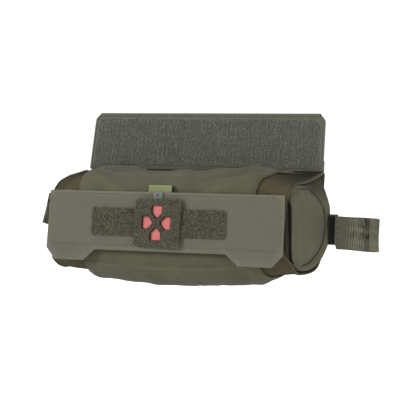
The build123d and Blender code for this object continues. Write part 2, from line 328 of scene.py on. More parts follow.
def plate(name, outline, thick, surface, step=3.0, bevel=0.3, holes=(), top=None,
          edge_step=None, base=0.0):
    """Sheet cut to an outline and laid on a surface, from height base to base + thick.
    top(x, y, edge) adds height to the outer face, edge being the distance from the cut edge."""
    rings = [densify(outline, edge_step or step)]
    rings += [densify(hole, edge_step or step)[::-1] for hole in holes]
    insets = [inset(ring, bevel) for ring in rings]

    def in_cloth(points):
        in_holes = np.any([inside(points, hole) for hole in insets[1:]], axis=0)
        return inside(points, insets[0]) & ~in_holes

    def from_edge(points):
        return np.min([dist_to(points, ring) for ring in insets], axis=0)

    low, high = rings[0].min(0), rings[0].max(0)
    count_x, count_y = (max(2, int(span / step)) for span in high - low)
    x, y = np.meshgrid(np.linspace(low[0], high[0], count_x + 1),
                       np.linspace(low[1], high[1], count_y + 1), indexing="ij")
    infill = np.stack([x.ravel(), y.ravel()], 1)
    infill = infill[in_cloth(infill)]
    infill = infill[from_edge(infill) > 0.55 * step]
    edges, start = [], 0
    for ring in insets:
        count = len(ring)
        edges += [(start + i, start + (i + 1) % count) for i in range(count)]
        start += count
    points = np.vstack(insets + [infill])
    result = geometry.delaunay_2d_cdt([Vector(p) for p in points], edges, [], 0, 1e-5)
    flat = np.array([tuple(v) for v in result[0]])
    triangles = np.array(list(result[2]))
    triangles = triangles[in_cloth(flat[triangles].mean(1))]
    used = np.unique(triangles)
    renumber = np.full(len(flat), -1)
    renumber[used] = np.arange(len(used))
    flat, triangles = flat[used], renumber[triangles]
    area = np.cross(flat[triangles[:, 1]] - flat[triangles[:, 0]],
                    flat[triangles[:, 2]] - flat[triangles[:, 0]])
    triangles[area < 0] = triangles[area < 0][:, ::-1]

    # the rim points, found again among the triangulated vertices
    index_of = {(round(float(x), 4), round(float(y), 4)): i for i, (x, y) in enumerate(flat)}
    size = len(flat)
    relief = top(flat[:, 0], flat[:, 1], from_edge(flat)) if top else np.zeros(size)
    verts = [place(surface, flat, base + thick + relief), place(surface, flat, base)]
    weaves = [flat, flat]
    faces = [tuple(t) for t in triangles] + [tuple(t[::-1] + size) for t in triangles]
    start = 2 * size
    side_bevel = min(bevel, thick * 0.45)
    for ring, rim in zip(rings, insets):
        count = len(ring)
        index = [index_of.get((round(float(x), 4), round(float(y), 4))) for x, y in rim]
        relief = top(ring[:, 0], ring[:, 1], np.zeros(count)) if top else np.zeros(count)
        verts += [place(surface, ring, base + thick - side_bevel + relief * 0.5),
                  place(surface, ring, base + side_bevel)]
        weaves += [ring, ring]
        for i in range(count):
            j = (i + 1) % count
            near, far = index[i], index[j]
            # a rim point merged away by the triangulation has no vertex
            if near is None or far is None:
                continue
            upper, lower = start, start + count
            faces += [(near, upper + i, upper + j, far),
                      (upper + i, lower + i, lower + j, upper + j),
                      (lower + i, size + near, size + far, lower + j)]
        start += 2 * count
    return fix_normals(make(name, np.vstack(verts), faces, np.vstack(weaves)))


def sweep(name, path, normals, profile, loop=False):
    """Profile of (across, up) points swept along a path, up being along the normals."""
    if loop:
        tangent = unit(np.roll(path, -1, 0) - np.roll(path, 1, 0))
    else:
        tangent = unit(np.gradient(path, axis=0))
    normals = np.broadcast_to(normals, path.shape)
    normals = unit(normals - tangent * (normals * tangent).sum(1, keepdims=True))
    across = np.cross(tangent, normals)
    rings, sides = len(path), len(profile)
    verts = (path[:, None] + across[:, None] * profile[None, :, 0, None]
             + normals[:, None] * profile[None, :, 1, None])
    if loop:
        faces = grid_faces(rings, sides, wrap=True)
        last = (rings - 1) * sides
        for j in range(sides):
            k = (j + 1) % sides
            faces.append((last + j, j, k, last + k))
    else:
        faces = tube_faces(rings, sides)
    girth = np.linalg.norm(profile - np.roll(profile, 1, 0), axis=1).sum()
    weave = np.stack([np.repeat(arc_length(path), sides),
                      np.tile(np.linspace(0, 1, sides, endpoint=False) * girth, rings)], 1)
    return fix_normals(make(name, verts.reshape(-1, 3), faces, weave))


def stitches(name, rows, pitch=3.0, length=2.1, radius=0.26, jitter=0.06, lift=0.12, phase=0.5):
    """Thread stitches along rows of (line, normals)."""
    along = np.linspace(-1, 1, 5)
    taper = np.sqrt(np.clip(1 - along ** 4, 0.03, 1))
    angles = np.linspace(0, TURN, 6, endpoint=False)
    rings, sides = len(along), len(angles)
    verts, faces, weave = [], [], []
    random = np.random.default_rng(5)
    for line, normals in rows:
        normals = np.broadcast_to(normals, line.shape)
        lengths = arc_length(line)
        count = max(1, int(lengths[-1] / pitch))
        spots = np.arange(count if phase < 1 else count - 1) + phase
        for spot in spots * lengths[-1] / count:
            back, centre, ahead = (sample(line, lengths, spot + offset)
                                   for offset in (-length / 2, 0, length / 2))
            tangent = unit(ahead - back)
            normal = sample(normals, lengths, spot)
            normal = unit(normal - tangent * (normal @ tangent))
            across = np.cross(tangent, normal)
            turn, shift = random.normal(0, jitter), random.normal(0, 0.05)
            tangent = tangent * math.cos(turn) + across * math.sin(turn)
            rise = (lift - 0.35 * radius * along ** 2 + radius * 0.4)[:, None]
            centres = (centre + tangent * along[:, None] * length / 2
                       + normal * rise + across * shift)
            faces += tube_faces(rings, sides, len(verts) * rings * sides)
            verts.append(tube_verts(centres, np.cross(tangent, normal), normal,
                                    radius * taper, angles))
            weave.append(np.stack([np.repeat(spot + along, sides), np.tile(angles, rings)], 1))
    return make(name, np.vstack(verts), faces, np.vstack(weave))


def surface_axes(surface, points, height):
    """Positions on a surface and its unit x and y directions there."""
    origin = place(surface, points, height)
    along = unit(place(surface, points + (0.5, 0), height) - origin)
    up = unit(place(surface, points + (0, 0.5), height) - origin)
    return origin, along, up


def curls(name, outline, allowed, count, surface, height, seed, size):
    """Small thread arcs standing on a pile, where allowed(points) is true."""
    random = np.random.default_rng(seed)
    margin = 0.6
    low, high = outline.min(0) + margin, outline.max(0) - margin
    spots = np.stack([random.uniform(low[i], high[i], count * 2) for i in (0, 1)], 1)
    spots = spots[inside(spots, inset(outline, margin)) & allowed(spots)][:count]
    origin, along, up = surface_axes(surface, spots, height)
    normal = np.cross(along, up)
    rings, sides = 5, 3
    angles = np.linspace(0, TURN, sides, endpoint=False)
    bend = np.array([math.pi * i / (rings - 1) for i in range(rings)])[:, None]
    verts, faces = [], []
    for i in range(len(spots)):
        turn = random.uniform(0, math.pi)
        ahead = along[i] * math.cos(turn) + up[i] * math.sin(turn)
        radius = random.uniform(*size)
        tall = radius * random.uniform(0.7, 1.25)
        lean = (along[i] * random.normal(0, 0.3) + up[i] * random.normal(0, 0.3)) * radius
        across = np.cross(ahead, normal[i])
        centres = (origin[i] + ahead * (-np.cos(bend) * radius * 0.6)
                   + (normal[i] * tall + lean) * np.sin(bend))
        tangent = unit(ahead * np.sin(bend) * 0.6 + normal[i] * np.cos(bend))
        verts.append(tube_verts(centres, across, np.cross(tangent, across), 0.12, angles))
        faces += tube_faces(rings, sides, i * rings * sides, flip_caps=True)
    shades = np.stack([random.uniform(0, 1, len(spots)),
                       smooth_noise(spots, 5.0, seed) * 0.5 + 0.5], 1)
    return make(name, np.vstack(verts), faces, np.repeat(shades, rings * sides, axis=0))


# (along, height, thickness) of one hook, from its foot over its crown
HOOK_SHAPE = np.array([(-0.35, 0.0, 1.35), (-0.22, 0.75, 1.1), (0.05, 1.0, 1.0),
                       (0.38, 0.86, 0.9), (0.5, 0.5, 0.6)])


def hooks(name, outline, surface, base, pitch_x, pitch_y, height, radius, seed):
    """Staggered columns of small hooks; every third column is short and faces down."""
    random = np.random.default_rng(seed)
    low, high = outline.min(0), outline.max(0)
    x, y = np.meshgrid(np.arange(low[0], high[0], pitch_x),
                       np.arange(low[1], high[1], pitch_y), indexing="ij")
    column = np.repeat(np.arange(x.shape[0]), x.shape[1]).reshape(x.shape)
    x = x + 0.55 * np.sin(y / 4.6 + 0.5 * np.sin(column * 0.21)) + random.normal(0, 0.12, x.shape)
    y = y + (column % 2) * pitch_y / 2 + random.normal(0, 0.10, x.shape)
    spots = np.stack([x.ravel(), y.ravel()], 1)
    kept = inside(spots, inset(outline, 0.9))
    spots, column = spots[kept], column.ravel()[kept]
    origin, along, up = surface_axes(surface, spots, base)
    normal = unit(place(surface, spots, base + 0.5) - origin)
    ahead, rise, taper = HOOK_SHAPE[:, :1], HOOK_SHAPE[:, 1:2], HOOK_SHAPE[:, 2]
    tangent = unit(np.gradient(HOOK_SHAPE[:, :2], axis=0))
    angles = np.linspace(0, TURN, 4, endpoint=False) + 0.785
    rings, sides = len(HOOK_SHAPE), len(angles)
    verts, faces = [], []
    for i in range(len(spots)):
        tall = height * (random.uniform(0.86, 1.08) if column[i] % 3
                         else random.uniform(0.5, 0.65))
        tilt = random.normal(0, 0.12)
        facing = up[i] * (1 if column[i] % 3 else -1) + along[i] * tilt
        centres = origin[i] + facing * ahead * height * 0.75 + normal[i] * rise * tall
        outward = -facing * tangent[:, 1:] + normal[i] * tangent[:, :1]
        verts.append(tube_verts(centres, along[i] * 1.5, outward, radius * taper, angles))
        faces += tube_faces(rings, sides, i * rings * sides, flip_caps=True)
    x, y = spots.T
    streak = 0.5 + 0.35 * np.sin(x * TURN / 4.6 + 1.2 * np.sin(y / 5.0) + 0.8 * np.sin(x / 17.0))
    streak = streak + 0.15 * smooth_noise(spots, 6.0, seed)
    shades = np.stack([random.uniform(0, 1, len(spots)) ** 1.4, clamp(streak)], 1)
    weave = np.repeat(shades, rings * sides, axis=0)
    return fix_normals(make(name, np.vstack(verts), faces, weave))


# ---------------------------------------------------------------- shader building
MATERIALS = {}


def linear(rgb):
    """sRGB 0..255 to linear, for values above the straight foot of the curve."""
    return tuple(((value / 255 + 0.055) / 1.055) ** 2.4 for value in rgb)


class Shader:
    """A Principled material. weave is the cloth coordinate and place the object's mm point."""

    def __init__(self, name):
        material = bpy.data.materials.new(name)
        material.use_nodes = True
        self.tree = material.node_tree
        self.tree.nodes.clear()
        self.principled = self.node("BsdfPrincipled")
        self.node("OutputMaterial", {0: self.principled.outputs[0]})
        MATERIALS[name] = material

    def feed(self, node, inputs):
        for key, value in inputs.items():
            if isinstance(value, bpy.types.NodeSocket):
                self.tree.links.new(value, node.inputs[key])
            else:
                node.inputs[key].default_value = value

    def node(self, kind, inputs=None, **settings):
        node = self.tree.nodes.new("ShaderNode" + kind)
        for key, value in settings.items():
            setattr(node, key, value)
        self.feed(node, inputs or {})
        return node

    @cached_property
    def weave(self):
        return self.node("Attribute", attribute_name="st").outputs["Vector"]

    @cached_property
    def place(self):
        return self.scaled(self.node("TexCoord").outputs["Object"], 1000.0)

    @cached_property
    def pointiness(self):
        return self.node("NewGeometry").outputs["Pointiness"]

    def math(self, operation, first, second=0.0):
        return self.node("Math", {0: first, 1: second}, operation=operation).outputs[0]

    def add(self, first, second):
        return self.math("ADD", first, second)

    def sub(self, first, second):
        return self.math("SUBTRACT", first, second)

    def mul(self, first, second):
        return self.math("MULTIPLY", first, second)

    def centred(self, value, amount):
        return self.mul(self.sub(value, 0.5), amount)

    def sine(self, value, period):
        return self.math("SINE", self.add(self.mul(value, TURN / period), 0.0))

    def vector(self, operation, first, second):
        return self.node("VectorMath", {0: first, 1: second}, operation=operation).outputs[0]

    def scaled(self, vector, factor):
        return self.node("VectorMath", {0: vector, "Scale": factor}, operation="SCALE").outputs[0]

    def xyz(self, vector):
        return self.node("SeparateXYZ", {0: vector}).outputs

    def noise(self, vector, scale, detail=2.0, rough=0.5, distortion=0.0):
        return self.node("TexNoise", {"Vector": vector, "Scale": scale, "Detail": detail,
                                      "Roughness": rough,
                                      "Distortion": distortion}).outputs["Fac"]

    def voronoi(self, vector, scale):
        return self.node("TexVoronoi", {"Vector": vector, "Scale": scale}).outputs["Distance"]

    def ramp(self, value, start, end, low=0.0, high=1.0):
        """start..end turned into low..high"""
        return self.node("MapRange", {"Value": value, "From Min": start, "From Max": end,
                                      "To Min": low, "To Max": high}).outputs[0]

    def vary(self, value, low, high):
        """the useful middle of a noise turned into low..high"""
        return self.ramp(value, 0.3, 0.7, low, high)

    def wear(self, amount):
        """lighter on convex edges"""
        return self.mul(self.ramp(self.pointiness, 0.505, 0.56), amount)

    def mix(self, factor, first, second):
        return self.node("Mix", data_type="RGBA", inputs={
            0: factor, 6: (*linear(first), 1.0), 7: (*linear(second), 1.0)}).outputs[2]

    def finish(self, color, rough, height=None, bump=0.3, depth=0.0002, sheen=0.0,
               sheen_rough=0.5, spec=0.3):
        self.feed(self.principled, {
            "Base Color": color, "Roughness": rough, "Specular IOR Level": spec,
            "Sheen Weight": sheen, "Sheen Roughness": sheen_rough})
        if height is not None:
            normal = self.node("Bump", {"Strength": bump, "Distance": depth, "Height": height})
            self.feed(self.principled, {"Normal": normal.outputs[0]})


def cloth(name, rgb, pitch, thread, mottle, rough=0.84, bump=0.3, sheen=0.15, wear=0.25,
          spec=0.3, painted_shading=0.0):
    """Plain weave with mottling, faint long streaks and worn edges.
    thread is the contrast of the weave, painted_shading the strength of painted shading towards the
    upper rear."""
    mat = Shader(name)
    warp, weft, _ = mat.xyz(mat.weave)
    drift = mat.noise(mat.weave, 0.25)
    cross = mat.mul(mat.sine(mat.add(warp, mat.centred(drift, 0.5)), 2 * pitch),
                    mat.sine(mat.add(weft, mat.centred(drift, -0.5)), 2 * pitch))
    height = mat.add(mat.mul(mat.math("ABSOLUTE", cross), 0.7), mat.mul(cross, 0.3))
    patches = mat.noise(mat.place, 0.035, detail=3, rough=0.55)
    fine = mat.noise(mat.weave, 1.4, detail=3, rough=0.6)
    streak = mat.noise(mat.vector("MULTIPLY", mat.weave, (0.12, 2.2, 0.3)), 1.0)
    tone = mat.add(mat.vary(patches, 1 - mottle, 1 + mottle), mat.vary(fine, -0.07, 0.07))
    tone = mat.add(tone, mat.vary(streak, -0.035, 0.035))
    tone = mat.add(tone, mat.mul(cross, thread))
    tone = mat.add(tone, mat.wear(wear))
    # painted shading: the cloth is darkened towards the upper rear
    if painted_shading:
        _, y, z = mat.xyz(mat.place)
        dark = mat.mul(mat.ramp(y, -52.0, -26.0, 0.0, painted_shading), mat.ramp(z, 22.0, 36.0))
        tone = mat.mul(tone, mat.sub(1.0, dark))
    mat.finish(mat.scaled(linear(rgb), tone), mat.vary(fine, rough - 0.06, rough + 0.06),
               mat.add(mat.mul(height, 0.8), mat.mul(fine, 0.35)),
               bump=bump, depth=0.00025, sheen=sheen, sheen_rough=0.45, spec=spec)


def pile(name, rgb, dark, light, scale=1.0):
    """Loop pile: dark gaps, light curl tips."""
    mat = Shader(name)
    # the weave coordinate has no weight in a pile
    point = mat.vector("ADD", mat.place, mat.scaled(mat.weave, 0.0))
    curl = mat.noise(point, 0.85 * scale, detail=3, rough=0.65, distortion=0.6)
    cell = mat.voronoi(point, 1.15 * scale)
    patches = mat.noise(point, 0.12)
    tone = mat.add(mat.ramp(curl, 0.34, 0.66, dark, light), mat.ramp(cell, 0.0, 0.8, 0.16, -0.2))
    tone = mat.mul(tone, mat.vary(patches, 0.9, 1.1))
    mat.finish(mat.scaled(linear(rgb), tone), 0.95, mat.sub(curl, mat.mul(cell, 0.5)),
               bump=0.8, depth=0.0006, sheen=0.3, spec=0.15)


def ribbed(name, rgb, groove, rib, second, bump=0.5, sheen=0.2, painted_shading=0.0):
    """Webbing or elastic: ribs of period rib, cross threads of period second.
    painted_shading is the strength of painted shading from the flap: darker towards the rear, more
    on the right than the left, up to its outer edge."""
    mat = Shader(name)
    along, across, _ = mat.xyz(mat.weave)
    along = mat.add(along, mat.centred(mat.noise(mat.weave, 0.18), 0.9))
    ribs, threads = mat.sine(along, rib), mat.sine(across, second)
    height = mat.add(mat.mul(ribs, 0.8), mat.mul(threads, 0.25))
    fine = mat.noise(mat.place, 1.6, detail=3)
    patches = mat.noise(mat.place, 0.05)
    ridge = mat.ramp(mat.add(mat.mul(ribs, 0.5), mat.mul(threads, 0.2)), -0.8, 0.8)
    tone = mat.add(mat.vary(fine, 0.9, 1.1), mat.vary(patches, -0.07, 0.07))
    # painted shading from the flap: darker towards the rear, stronger on the right, fading out over
    # the right mouth's last few mm
    if painted_shading:
        x, y, _ = mat.xyz(mat.place)
        dark = mat.mul(mat.ramp(x, -90.0, 90.0, 0.74 * painted_shading, painted_shading),
                       mat.ramp(x, 121.0, 125.5, 1.0, 0.0))
        tone = mat.mul(tone, mat.sub(1.0, mat.mul(mat.ramp(y, -60.0, -14.0), dark)))
    mat.finish(mat.scaled(mat.mix(ridge, groove, rgb), tone), 0.85,
               mat.add(height, mat.mul(fine, 0.8)),
               bump=bump, depth=0.0003, sheen=sheen, sheen_rough=0.45, spec=0.25)


def plain(name, rgb, rough=0.6, scale=0.8, grain=0.06, bump=0.15, wear=0.0):
    """Film, rubber or a dark hole: faint grain only."""
    mat = Shader(name)
    fine = mat.noise(mat.place, scale, detail=4, rough=0.6)
    patches = mat.noise(mat.place, 0.06)
    tone = mat.add(mat.vary(fine, 1 - grain, 1 + grain), mat.vary(patches, -grain / 2, grain / 2))
    if wear:
        tone = mat.add(tone, mat.wear(wear))
    mat.finish(mat.scaled(linear(rgb), tone), mat.vary(fine, rough - 0.05, rough + 0.05), fine,
               bump=bump, spec=0.4)


def thread(name, rgb):
    """Twisted thread."""
    mat = Shader(name)
    along, angle, _ = mat.xyz(mat.weave)
    twist = mat.sine(mat.add(mat.mul(along, 2.2), angle), 1.4)
    mat.finish(mat.scaled(linear(rgb), mat.ramp(twist, -1, 1, 0.82, 1.12)), 0.75, twist,
               bump=0.4, depth=0.0001, sheen=0.3, sheen_rough=0.4)


def speckle(name, rgb, low, high, rough, spec):
    """Short filaments, each with its own brightness."""
    mat = Shader(name)
    own, streak, _ = mat.xyz(mat.weave)
    tone = mat.mul(mat.ramp(own, 0.0, 1.0, low, high), mat.ramp(streak, 0.0, 1.0, 0.75, 1.25))
    mat.finish(mat.scaled(linear(rgb), tone), rough, spec=spec)


def grip_webbing(name, length):
    """Plain at the root, with bowed ribs that tighten towards a sewn band near the end; the band is
    darkened as painted shadow of its dip.
    """
    mat = Shader(name)
    along, across, _ = mat.xyz(mat.weave)

    def end_ramp():
        return mat.ramp(along, length - 5.6, length - 5.0)

    centred = mat.add(across, 4.0)
    bow = mat.mul(mat.mul(centred, centred), 0.010)
    run = mat.add(mat.add(along, bow), mat.centred(mat.noise(mat.weave, 0.16), 1.6))
    rib = mat.math("SINE", mat.mul(run, mat.add(mat.mul(run, 0.0333), 1.288)))
    strength = mat.mul(mat.ramp(along, 9.0, 18.0, 0.0, 0.62),
                       mat.ramp(along, length - 5.5, length - 4.5, 1.0, 0.25))
    fine = mat.noise(mat.place, 1.1, detail=3, rough=0.7)
    specks = mat.mul(mat.sine(along, 1.5), mat.sine(across, 1.9))
    ridge = mat.add(mat.mul(rib, strength), mat.mul(specks, 0.14))
    color = mat.mix(mat.ramp(ridge, -0.6, 0.6), (72, 70, 57), (158, 154, 133))
    # painted shadow: the sewn dip between the ribs and the rolled end is darkened to about half
    band = mat.mul(mat.ramp(along, length - 12.4, length - 10.6, 1.0, 0.52), 1.0)
    band = mat.math("MAXIMUM", band, end_ramp())
    tone = mat.mul(mat.math("MINIMUM", band, 1.0), mat.ramp(along, 16.0, length - 12.0, 1.0, 0.84))
    tone = mat.mul(mat.math("MAXIMUM", tone, end_ramp()), mat.vary(fine, 0.84, 1.16))
    height = mat.add(mat.mul(mat.mul(rib, strength), 1.3), mat.mul(fine, 0.8))
    mat.finish(mat.scaled(color, tone), 0.85, height,
               bump=0.6, depth=0.0004, sheen=0.2, sheen_rough=0.45, spec=0.25)


# ---------------------------------------------------------------- materials
cloth("laminate", (121, 120, 106), pitch=0.42, thread=0.05, mottle=0.04, rough=0.78, bump=0.18,
      sheen=0.12, wear=0.35)
cloth("laminate_flap", (108, 108, 95), pitch=0.42, thread=0.06, mottle=0.05, rough=0.8,
      bump=0.2, sheen=0.12, wear=0.3)
cloth("sleeve_fabric", (107, 104, 83), pitch=0.5, thread=0.12, mottle=0.12, bump=0.35)
cloth("insert_fabric", (117, 114, 95), pitch=0.5, thread=0.08, mottle=0.06)
# the insert's rim gets painted shading towards its upper rear
cloth("insert_rim_fabric", (118, 114, 92), pitch=0.5, thread=0.10, mottle=0.07, bump=0.35,
      painted_shading=0.58)
cloth("back_laminate", (112, 111, 96), pitch=0.55, thread=0.10, mottle=0.06, rough=0.82,
      sheen=0.1)
# the elastic gets painted shading towards the rear, under the flap
ribbed("sleeve_elastic", (111, 103, 74), (87, 80, 56), rib=1.35, second=0.8, sheen=0.08,
       painted_shading=0.84)
ribbed("edge_binding", (126, 117, 92), (98, 90, 68), rib=1.1, second=0.9)
grip_webbing("webbing_grip_right", length=40.0)
grip_webbing("webbing_grip_left", length=33.6)
ribbed("webbing", (112, 110, 96), (84, 82, 69), rib=1.6, second=0.9, bump=0.6)
pile("loop_pile", (113, 110, 93), dark=0.35, light=1.5)
pile("patch_pile", (108, 107, 92), dark=0.45, light=1.4, scale=1.1)
cloth("hook_base", (112, 114, 104), pitch=0.6, thread=0.2, mottle=0.06, rough=0.7, bump=0.4,
      sheen=0.1)
speckle("hook_filament", (156, 158, 147), low=0.45, high=1.6, rough=0.42, spec=0.5)
speckle("loop_filament", (126, 123, 104), low=0.2, high=2.0, rough=0.75, spec=0.2)
plain("coral_film", (252, 142, 136), grain=0.03, scale=1.5, bump=0.12)
cloth("label_tape", (150, 158, 113), pitch=0.35, thread=0.16, mottle=0.06, rough=0.7)
cloth("black_tape", (33, 34, 30), pitch=0.5, thread=0.3, mottle=0.1, rough=0.7, bump=0.5)
plain("keeper_rubber", (126, 131, 133), rough=0.62, grain=0.05, bump=0.2, wear=0.2)
plain("pinhole_dark", (12, 12, 12), rough=0.9, grain=0.05)
thread("thread", (148, 140, 110))
plain("needle_hole", (34, 33, 27), rough=0.95, grain=0.05)
thread("thread_olive", (112, 106, 84))
thread("thread_straw", (158, 150, 106))
thread("thread_panel", (178, 172, 132))
plain("seared_rim", (46, 38, 34), rough=0.8, grain=0.15)
thread("thread_dark", (40, 39, 32))
# colour of the lobe's cord, dark as painted shadow in its groove
cloth("groove_shadow_cord", (60, 59, 48), pitch=0.5, thread=0.15, mottle=0.05, rough=0.9)
# mouth_lip is the elastic turned in; its darker copy of the elastic colours is painted shading
# inside the mouth
ribbed("mouth_lip", (88, 83, 64), (66, 62, 47), rib=1.35, second=0.8)
# near-black sheet that paints the shadow in each mouth's slot
cloth("painted_slot_shadow", (20, 20, 16), pitch=0.6, thread=0.1, mottle=0.05, rough=0.95, bump=0.2,
      spec=0.05)
cloth("lining", (58, 57, 47), pitch=0.6, thread=0.12, mottle=0.05, rough=0.9)


def put(obj, material, body, slot, *cad_nodes):
    """Give a piece its material and body, and hide the CAD nodes it stands for. slot is not used.
    """
    obj.data.materials.append(MATERIALS[material])
    if body:
        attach(obj, body)
    if cad_nodes:
        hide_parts(*cad_nodes)
    return obj


def needle_holes(name, rows, pitch, body, radius):
    """Dark needle holes between the stitches of a row."""
    put(stitches(name, rows, pitch, length=0.75, radius=radius, jitter=0.0, lift=-radius * 0.55,
                 phase=1.0), "needle_hole", body, "laminate")


# ---------------------------------------------------------------- sleeve and insert sections
AROUND = 260                        # points round a section


def section_line(corners):
    """Closed (y, z) outline from (y, z, fillet radius) corners. It starts at the top rear
    corner and runs over the top, down the front and back along the bottom."""
    corners = np.array(corners)
    line = rounded(corners[:, :2], corners[:, 2], arc=14)
    start = int(np.argmin(np.linalg.norm(line - corners[0, :2], axis=1)))
    line = closed(np.roll(line, -start, 0))
    lengths = arc_length(line)
    return sample(line, lengths, np.linspace(0, lengths[-1], AROUND + 1)[:-1])


SLEEVE_END = {
    1: section_line([(-2.0, 48.0, 0.6), (-36.0, 39.6, 46.0), (-62.6, 43.2, 14.0),
                     (-67.4, -40.2, 24.0), (-2.0, -40.2, 30.0)]),
    -1: section_line([(-2.0, 46.4, 0.6), (-28.0, 42.4, 50.0), (-58.0, 37.0, 22.0),
                      (-67.4, -42.4, 26.0), (-2.0, -42.0, 30.0)])}
SLEEVE_MIDDLE = section_line([(-2.0, 47.4, 0.6), (-31.0, 50.2, 40.0), (-65.0, 43.0, 18.0),
                              (-69.6, -51.6, 27.0), (-2.0, -51.6, 33.0)])
INSERT_END = {
    1: section_line([(-4.2, 45.6, 3.5), (-36.0, 37.0, 38.0), (-59.6, 40.8, 12.0),
                     (-62.4, -36.7, 22.0), (-4.2, -36.7, 35.0)]),
    -1: section_line([(-4.2, 45.6, 3.5), (-28.0, 39.2, 40.0), (-54.4, 34.0, 19.0),
                      (-62.4, -37.4, 24.0), (-4.2, -37.8, 34.0)])}

# the right end gives every sleeve section its arc lengths and its front, top and rear
END_Y, END_Z = SLEEVE_END[1].T
GIRTH_AT = arc_length(SLEEVE_END[1])
GIRTH = arc_length(closed(SLEEVE_END[1]))[-1]
# 1 on the front wall, which is drawn back at each mouth
FRONT_WALL = clamp((-END_Y - 62.0) / 4.5) * clamp((36.0 - np.abs(END_Z + 1)) / 9.0)

# (distance from the middle, share of the middle section) along the underside
UNDERSIDE = {
    1: [(18, 1), (41, 0.92), (58, 0.77), (74, 0.61), (91, 0.44), (99, 0.21), (107, 0.03),
        (115, 0)],
    -1: [(12, 1), (25, 0.92), (42, 0.86), (58, 0.765), (67, 0.66), (75, 0.58), (83, 0.52),
         (91, 0.43), (100, 0.2), (110, 0.04), (120, 0)]}


def outward(section):
    """Unit outward normals of a section line."""
    tangent = unit(np.roll(section, -1, 0) - np.roll(section, 1, 0))
    return np.stack([tangent[:, 1], -tangent[:, 0]], 1)


def middle_share(x):
    return 1 - smooth(clamp((abs(x) - 91.0) / 27.0))


def sleeve_section(x, out=0.0):
    """(y, z) points of the sleeve at x, moved outwards by out."""
    side = -1 if x < 0 else 1
    end = SLEEVE_END[side]
    low = clamp((10.0 - end[:, 1]) / 26.0)
    share = middle_share(x) * (1 - low) + look_up(UNDERSIDE[side], abs(x)) * low
    line = end * (1 - share[:, None]) + SLEEVE_MIDDLE * share[:, None]
    return line + outward(line) * out


# (y, distance from the middle) of the centre fabric's side edge, along the top and the bottom
FABRIC_EDGE = {
    1: ([(-66, 94), (-58, 95.5), (-45, 96), (-30, 96), (-15, 97), (-3, 99)],
        [(-66, 95), (-62, 96.5), (-50, 98), (-40, 99), (-20, 101), (-3, 103)]),
    -1: ([(-66, 92), (-58, 92), (-45, 92.5), (-30, 92), (-15, 94), (-3, 97)],
         [(-66, 89), (-62, 89), (-50, 91), (-40, 93), (-20, 96), (-3, 99)])}


def fabric_edge(side):
    top, bottom = FABRIC_EDGE[side]
    high = clamp((END_Z + 20) / 40)
    return look_up(top, END_Y) * high + look_up(bottom, END_Y) * (1 - high)


# ---------------------------------------------------------------- elastic ends of the sleeve
RIB_PITCH = 1.35
ELASTIC_START, ELASTIC_END = 84.0, 127.0


def elastic_points(side):
    """Ribbed band with slow waves. Also gives its x stations."""
    stations = np.append(np.arange(ELASTIC_START, 126.61, 0.45), ELASTIC_END)
    rear = END_Y > -2.6
    phase = GIRTH_AT / GIRTH * TURN
    rows = []
    for x in stations:
        rib = 0.10 * math.sin(TURN * x / RIB_PITCH)
        under_fabric = -1.5 * (1 - clamp((x - 96) / 14))
        drawn_in = -0.55 * bell(x - 120, 5.0)       # just before the rolled edge
        ring = sleeve_section(side * x, rib + under_fabric + drawn_in)
        ring[rear, 0] = np.minimum(ring[rear, 0], -2.0)
        grow = (x - ELASTIC_START) / (ELASTIC_END - ELASTIC_START)
        wave = (0.5 * grow * np.sin(3 * phase + 0.8) + 0.35 * grow * np.sin(7 * phase + 2.1)
                + 0.25 * np.sin(5 * phase + x * 0.09))
        ring = ring + outward(ring) * (wave * ~rear)[:, None]
        shift = 0.6 * np.sin(2 * phase + 1.0) + 0.3 * np.sin(5 * phase) - 6.2 * FRONT_WALL
        rows.append(with_x(x + grow * shift, ring))
    points = np.array(rows)
    points[..., 0] *= side
    return points, stations


elastic_rims = {}
for side, side_name in SIDES:
    points, stations = elastic_points(side)
    band = sheet(f"sleeve_elastic_{side_name}", points, 1.3, grid(stations[:, None], GIRTH_AT),
                 wrap=True, flip=side > 0)
    put(band, "sleeve_elastic", "carrier", "elastic", f"elastic_band_{side_name}")
    elastic_rims[side] = points[-1]

# flattened tube with a waist, like an edge folded over twice and sewn
ROLL_PROFILE = 0.62 * np.array([
    (-1.9, 0.1), (-1.7, 0.75), (-1.0, 1.0), (-0.3, 0.78), (0.5, 0.92), (1.3, 1.05), (1.9, 0.6),
    (2.1, 0), (1.8, -0.75), (1.0, -1.0), (0, -0.9), (-1.0, -0.95), (-1.7, -0.6)])

for side, side_name in SIDES:
    ring = elastic_rims[side].copy()
    ring[:, 0] -= side * 0.6
    normals = with_x(0.0, outward(ring[:, 1:]))
    ring = ring - normals * 0.65
    name = f"rolled_edge_{side_name}"
    put(sweep(name, ring, normals, ROLL_PROFILE, loop=True),
        "edge_binding", "carrier", "binding", f"edge_binding_{side_name}")
    seam = ring + normals * 0.80
    seam[:, 0] -= side * 1.15
    put(stitches(name + "_stitches", [(closed(seam), closed(normals))],
                 pitch=2.6, length=1.9, radius=0.22, lift=0.02),
        "thread_olive", "carrier", "binding")


